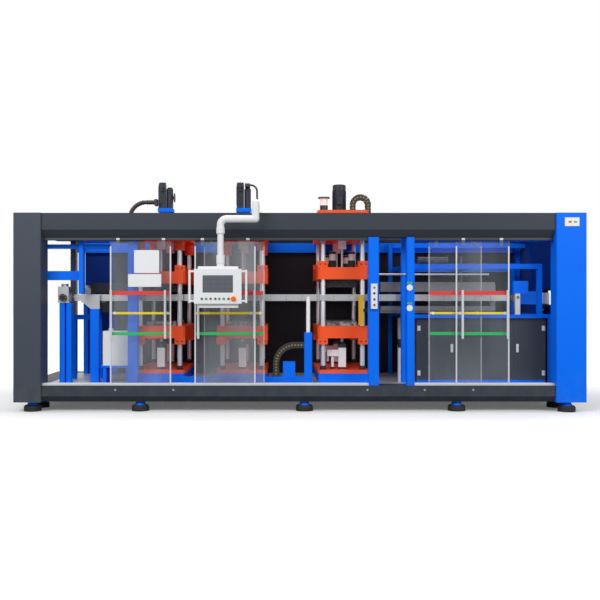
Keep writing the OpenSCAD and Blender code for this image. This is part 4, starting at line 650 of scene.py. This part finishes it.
# bolts along the chain rails' outer faces
railBolts = {"x0": -2.62, "pitch": 0.19, "count": 27, "z": (1.304, 1.341), "depth": 0.490, "radius": 0.0055,
             "head": 0.0035}
bm = bmesh.new()
for i in range(railBolts["count"]):
    x = railBolts["x0"] + i * railBolts["pitch"]
    for z in railBolts["z"]:
        for y, way in ((frontY + railBolts["depth"], -1), (backY - railBolts["depth"], 1)):
            addDrum(bm, (x, y, z), (0, way, 0), railBolts["radius"], railBolts["head"], 8)
makePiece("rail_bolts", bm, [plastic["blackCap"]], "frame")

# pin heads on the cable chains: a rise, a bend and a run by the floor rail, an arch over press 3
chainPins = {"gap": 0.004, "head": 0.0105, "headHigh": 0.003, "headEdge": 0.0008}
floorChain = {"x": -0.275, "front": -0.538, "low": 0.384, "rise": (0.150, 4), "radius": 0.225, "links": 10,
              "stand": 0.060, "run": (0.110, 3)}
archChain = {"x": 0.783, "front": 0.007, "z": 2.487, "radius": 0.095, "links": 8,
             "legs": ((-1, 2.372, 3), (1, 2.2402, 7))}


def straightPins(length, count):
    return [(k + 1) * length / count - chainPins["gap"] / 2 for k in range(count)]


def bendPins(radius, angle, count):
    half = chainPins["gap"] / 2 / radius
    return [(k + 1) * angle / count - half for k in range(count - 1)]


bm = bmesh.new()
x0, y0, z0, r = floorChain["x"], floorChain["front"], floorChain["low"], floorChain["radius"]
bendZ = z0 + floorChain["rise"][0]
pins = [(x0, y0, z0 + z) for z in straightPins(*floorChain["rise"])]
for a in bendPins(r, math.pi / 2, floorChain["links"]):
    pins.append((x0 + r * (1 - math.cos(a)), y0, bendZ + r * math.sin(a)))
for x in straightPins(*floorChain["run"]):
    pins.append((floorChain["stand"] - x, y0, bendZ + r))
x0, y0, z0, r = archChain["x"], archChain["front"], archChain["z"], archChain["radius"]
for a in bendPins(r, math.pi, archChain["links"]):
    pins.append((x0 + r * math.cos(a), y0, z0 + r * math.sin(a)))
for way, foot, count in archChain["legs"]:
    for z in straightPins(z0 - foot, count):
        pins.append((x0 + way * r, y0, foot + z))
for pin in pins:
    addDrum(bm, pin, forward, chainPins["head"], chainPins["headHigh"], 16, chainPins["headEdge"])
makePiece("chain_pin_heads", bm, [plastic["brassPin"]], "frame")
print("press and rail trim made")

# push buttons: bezel ring and rounded cap, on the pendant and on the post
pushButtons = {"radius": 0.0145, "bezel": (0.80, 1.10, 1.0), "bezelHigh": (0.0035, 0.005),
               "cap": 0.76, "capHigh": 0.0085, "capEdge": 0.002}
pendantRow = {"mid": -0.925, "x": (-0.177, -0.129, -0.079, -0.026, 0.018, 0.068, 0.120), "z": 1.308,
              "face": -1.137, "caps": ("darkGreenCap", "greenCap", "darkRedCap", "blackCap",
                                       "greenCap", "greenCap", "darkRedCap")}
stationRow = {"x": 0.8575, "z": (1.437, 1.372, 1.302, 1.237), "face": -0.820,
              "caps": ("greenCap", "blackCap", "darkRedCap", "redCap")}


def addButton(bm, at, cap):
    r = pushButtons["radius"]
    inner, outer, rim = (r * k for k in pushButtons["bezel"])
    side, top = pushButtons["bezelHigh"]
    addRing(bm, at, forward, [(inner, 0), (outer, 0), (outer, side), (rim, top), (inner, top)])
    addDrum(bm, at, forward, r * pushButtons["cap"], pushButtons["capHigh"], 24, pushButtons["capEdge"], cap)


capNames = ["greenCap", "darkGreenCap", "redCap", "darkRedCap", "blackCap"]
buttonFinish = [metal["groundSteel"]] + [plastic[name] for name in capNames]
bm = bmesh.new()
for x, cap in zip(pendantRow["x"], pendantRow["caps"]):
    addButton(bm, (pendantRow["mid"] + x, pendantRow["face"], pendantRow["z"]), 1 + capNames.index(cap))
piece = makePiece("pendant_push_buttons", bm, buttonFinish, "pendant")
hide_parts("pendant_buttons")
bm = bmesh.new()
for z, cap in zip(stationRow["z"], stationRow["caps"]):
    addButton(bm, (stationRow["x"], stationRow["face"], z), 1 + capNames.index(cap))
piece = makePiece("station_push_buttons", bm, buttonFinish, "frame")
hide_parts("station_buttons")

# sleeves at the ends of the pendant's drop pipe
pipeSleeves = {"at": (-0.9009, -1.035), "radius": 0.0421, "wall": 0.005, "foot": 0.001, "taper": 0.003,
               "lip": 0.5, "spans": ((1.703, 1.800), (2.040, 2.110))}
bm = bmesh.new()
r, wall = pipeSleeves["radius"], pipeSleeves["wall"]
for low, high in pipeSleeves["spans"]:
    h = high - low
    addRing(bm, pipeSleeves["at"] + (low,), upward,
            [(r, 0), (r + wall, pipeSleeves["foot"]), (r + wall, h - pipeSleeves["taper"]),
             (r + wall * pipeSleeves["lip"], h), (r, h)], 32)
makePiece("pipe_sleeves", bm, [paint["whitePaint"]], "arm")

# collar under the emergency stop's head
stopCollar = {"at": (-0.750, -1.137, 1.308), "inner": 0.0135, "outer": 0.031, "top": 0.95, "high": 0.0035}
bm = bmesh.new()
r0, r1, h = stopCollar["inner"], stopCollar["outer"], stopCollar["high"]
addRing(bm, stopCollar["at"], forward, [(r0, 0), (r1, 0), (r1 * stopCollar["top"], h), (r0, h)], 32)
makePiece("stop_collar", bm, [plastic["yellowStripe"]], "pendant")

# signal plate on the blue column and blank tags on the outfeed post
signalPlate = {"low": (3.045, 2.143), "high": (3.213, 2.243), "thick": 0.006, "edge": 0.002,
               "lamps": ((3.105, 2.193, 2), (3.165, 2.193, 1)), "lampHalf": (0.018, 0.010),
               "lampFront": 0.010}
postTags = {"x": 1.272, "z": (1.438, 1.201), "depth": 0.060, "radius": 0.036, "thick": 0.003, "edge": 0.001,
            "stripHalf": 0.032, "stripZ": (0.044, 0.066), "stripThick": 0.002, "stripEdge": 0.0006}
bm = bmesh.new()
(x0, z0), (x1, z1) = signalPlate["low"], signalPlate["high"]
plateY = frontY - signalPlate["thick"]
addBlock(bm, (x0, plateY, z0), (x1, frontY, z1), signalPlate["edge"])
halfX, halfZ = signalPlate["lampHalf"]
for x, z, slot in signalPlate["lamps"]:
    addBlock(bm, (x - halfX, frontY - signalPlate["lampFront"], z - halfZ), (x + halfX, plateY, z + halfZ),
             signalPlate["edge"], slot)
x0, x1 = postTags["x"] - postTags["stripHalf"], postTags["x"] + postTags["stripHalf"]
tagY = frontY + postTags["depth"]
stripY = frontY + (postTags["depth"] - postTags["stripThick"])
for z in postTags["z"]:
    addDrum(bm, (postTags["x"], tagY, z), forward, postTags["radius"], postTags["thick"], 32,
            postTags["edge"])
    addBlock(bm, (x0, stripY, z + postTags["stripZ"][0]), (x1, tagY, z + postTags["stripZ"][1]),
             postTags["stripEdge"], 1)
plateFinish = [plastic["whitePlastic"], plastic["greenStripe"], plastic["redStripe"]]
makePiece("blank_plates", bm, plateFinish, "frame")
print("buttons and plates made")

# cabinet door hinges with screws, and lever covers
cabinetSides = {"left": {"hingeX": 1.420, "leverX": 1.841, "way": 1},
                "right": {"hingeX": 2.970, "leverX": 2.629, "way": -1}}
cabinetFittings = {"face": -0.385, "hingeZ": (0.389, 0.928), "leaf": (0.009, 0.044), "leafZ": (-0.004, 0.056),
                   "leafThick": 0.005, "leafEdge": 0.0015, "screwX": 0.030, "screwZ": (0.012, 0.040),
                   "screw": 0.005, "screwHigh": 0.002, "screwEdge": 0.0006, "leverHalf": 0.015,
                   "leverY": (0.019, 0.0002), "leverZ": (0.664, 0.764), "leverEdge": 0.004}
y = cabinetFittings["face"]
leafY = y - cabinetFittings["leafThick"]
for name, side in cabinetSides.items():
    bm = bmesh.new()
    for z in cabinetFittings["hingeZ"]:
        x0, x1 = sorted(side["hingeX"] + side["way"] * out for out in cabinetFittings["leaf"])
        addBlock(bm, (x0, leafY, z + cabinetFittings["leafZ"][0]), (x1, y, z + cabinetFittings["leafZ"][1]),
                 cabinetFittings["leafEdge"])
        screwX = side["hingeX"] + side["way"] * cabinetFittings["screwX"]
        for dz in cabinetFittings["screwZ"]:
            addDrum(bm, (screwX, leafY, z + dz), forward, cabinetFittings["screw"],
                    cabinetFittings["screwHigh"], 12, cabinetFittings["screwEdge"])
    half, (near, far) = cabinetFittings["leverHalf"], cabinetFittings["leverY"]
    addBlock(bm, (side["leverX"] - half, y - near, cabinetFittings["leverZ"][0]),
             (side["leverX"] + half, y - far, cabinetFittings["leverZ"][1]), cabinetFittings["leverEdge"])
    makePiece("cabinet_fittings_" + name, bm, [paint["greyPaint"]], "cabinet_" + name)

# clean pale floor, lit towards its edges so that the shadow stays near the feet
floorLook = {"size": 60, "reach": (0.4, 1, 0), "fade": (1.2, 4.5), "glow": (grey(0.11), grey(0.55)),
             "drift": (0.4, 2), "tone": (grey(0.92), grey(0.94)), "bounce": grey(0.30),
             "rough": 0.9, "shine": 0.1}
floorMesh = bpy.data.meshes.new("studio_floor")
bm = bmesh.new()
bmesh.ops.create_grid(bm, x_segments=1, y_segments=1, size=floorLook["size"])
bm.to_mesh(floorMesh)
bm.free()
floor = bpy.data.objects.new("studio_floor", floorMesh)
bpy.context.collection.objects.link(floor)
f = Finish("studioFloor")
seen = f.add("ShaderNodeLightPath", out="Is Camera Ray")
away = f.add("ShaderNodeVectorMath", {"operation": "LENGTH"}, {0: f.stretched(floorLook["reach"])}, "Value")
glow = f.mix(f.ramp(away, *floorLook["fade"]), *floorLook["glow"])
tone = f.mix(f.noise(*floorLook["drift"]), *floorLook["tone"])
floorMesh.materials.append(f.done({"Base Color": f.mix(seen, floorLook["bounce"], tone),
                                   "Roughness": floorLook["rough"], "Specular IOR Level": floorLook["shine"],
                                   "Emission Strength": 1.0, "Emission Color": f.mix(seen, grey(0), glow)}))

# white backdrop for the camera and for mirrored or clear rays, soft bluish fill for the rest
studio = {"fill": 0.58, "fillTone": (0.97, 0.985, 1.0, 1), "white": 1.0}
world = bpy.data.worlds.new("studioWorld")
bpy.context.scene.world = world
world.use_nodes = True
tree = world.node_tree
tree.nodes.clear()
path = tree.nodes.new("ShaderNodeLightPath")
lamp = tree.nodes.new("ShaderNodeBackground")
back = tree.nodes.new("ShaderNodeBackground")
blend = tree.nodes.new("ShaderNodeMixShader")
either = tree.nodes.new("ShaderNodeMath")
either.operation = "MAXIMUM"
both = tree.nodes.new("ShaderNodeMath")
both.operation = "MAXIMUM"
out = tree.nodes.new("ShaderNodeOutputWorld")
lamp.inputs["Color"].default_value = studio["fillTone"]
lamp.inputs["Strength"].default_value = studio["fill"]
back.inputs["Strength"].default_value = studio["white"]
back.inputs["Color"].default_value = grey(1)
for source, target in (
        (path.outputs["Is Camera Ray"], either.inputs[0]), (path.outputs["Is Glossy Ray"], either.inputs[1]),
        (either.outputs[0], both.inputs[0]), (path.outputs["Is Transmission Ray"], both.inputs[1]),
        (both.outputs[0], blend.inputs[0]), (lamp.outputs[0], blend.inputs[1]),
        (back.outputs[0], blend.inputs[2]), (blend.outputs[0], out.inputs["Surface"])):
    tree.links.new(source, target)

softLamps = {
    "keyLamp": {"at": (-4.5, -8.5, 6.5), "to": (0, -0.5, 1.2), "size": (5.0, 4.0), "watts": 470},
    "sideLamp": {"at": (6.5, -7.0, 5.0), "to": (0.5, 0, 1.2), "size": (4.0, 4.0), "watts": 250},
    "topLamp": {"at": (0, 0.2, 6.2), "to": (0, 0.2, 0), "size": (7.0, 2.6), "watts": 120},
}
for name, look in softLamps.items():
    light = bpy.data.lights.new(name, "AREA")
    light.shape = "RECTANGLE"
    light.size, light.size_y = look["size"]
    light.energy = look["watts"]
    lampObject = bpy.data.objects.new(name, light)
    lampObject.location = look["at"]
    aim = Vector(look["to"]) - Vector(look["at"])
    lampObject.rotation_euler = aim.to_track_quat("-Z", "Y").to_euler()
    bpy.context.collection.objects.link(lampObject)

# the photograph's view, level and square to the front
photoView = {"at": (-0.2875, -10.335, 1.294), "lens": 49.565, "sensor": 36, "shift": (0.0417, 0.0)}
camera = bpy.data.objects.new("photo_camera", bpy.data.cameras.new("photo_camera"))
camera.location = photoView["at"]
camera.rotation_euler = (math.pi / 2, 0, 0)
camera.data.sensor_width = photoView["sensor"]
camera.data.lens = photoView["lens"]
camera.data.shift_x, camera.data.shift_y = photoView["shift"]
bpy.context.collection.objects.link(camera)
bpy.context.scene.camera = camera
bpy.context.scene.view_settings.view_transform = "Standard"
print("studio set")
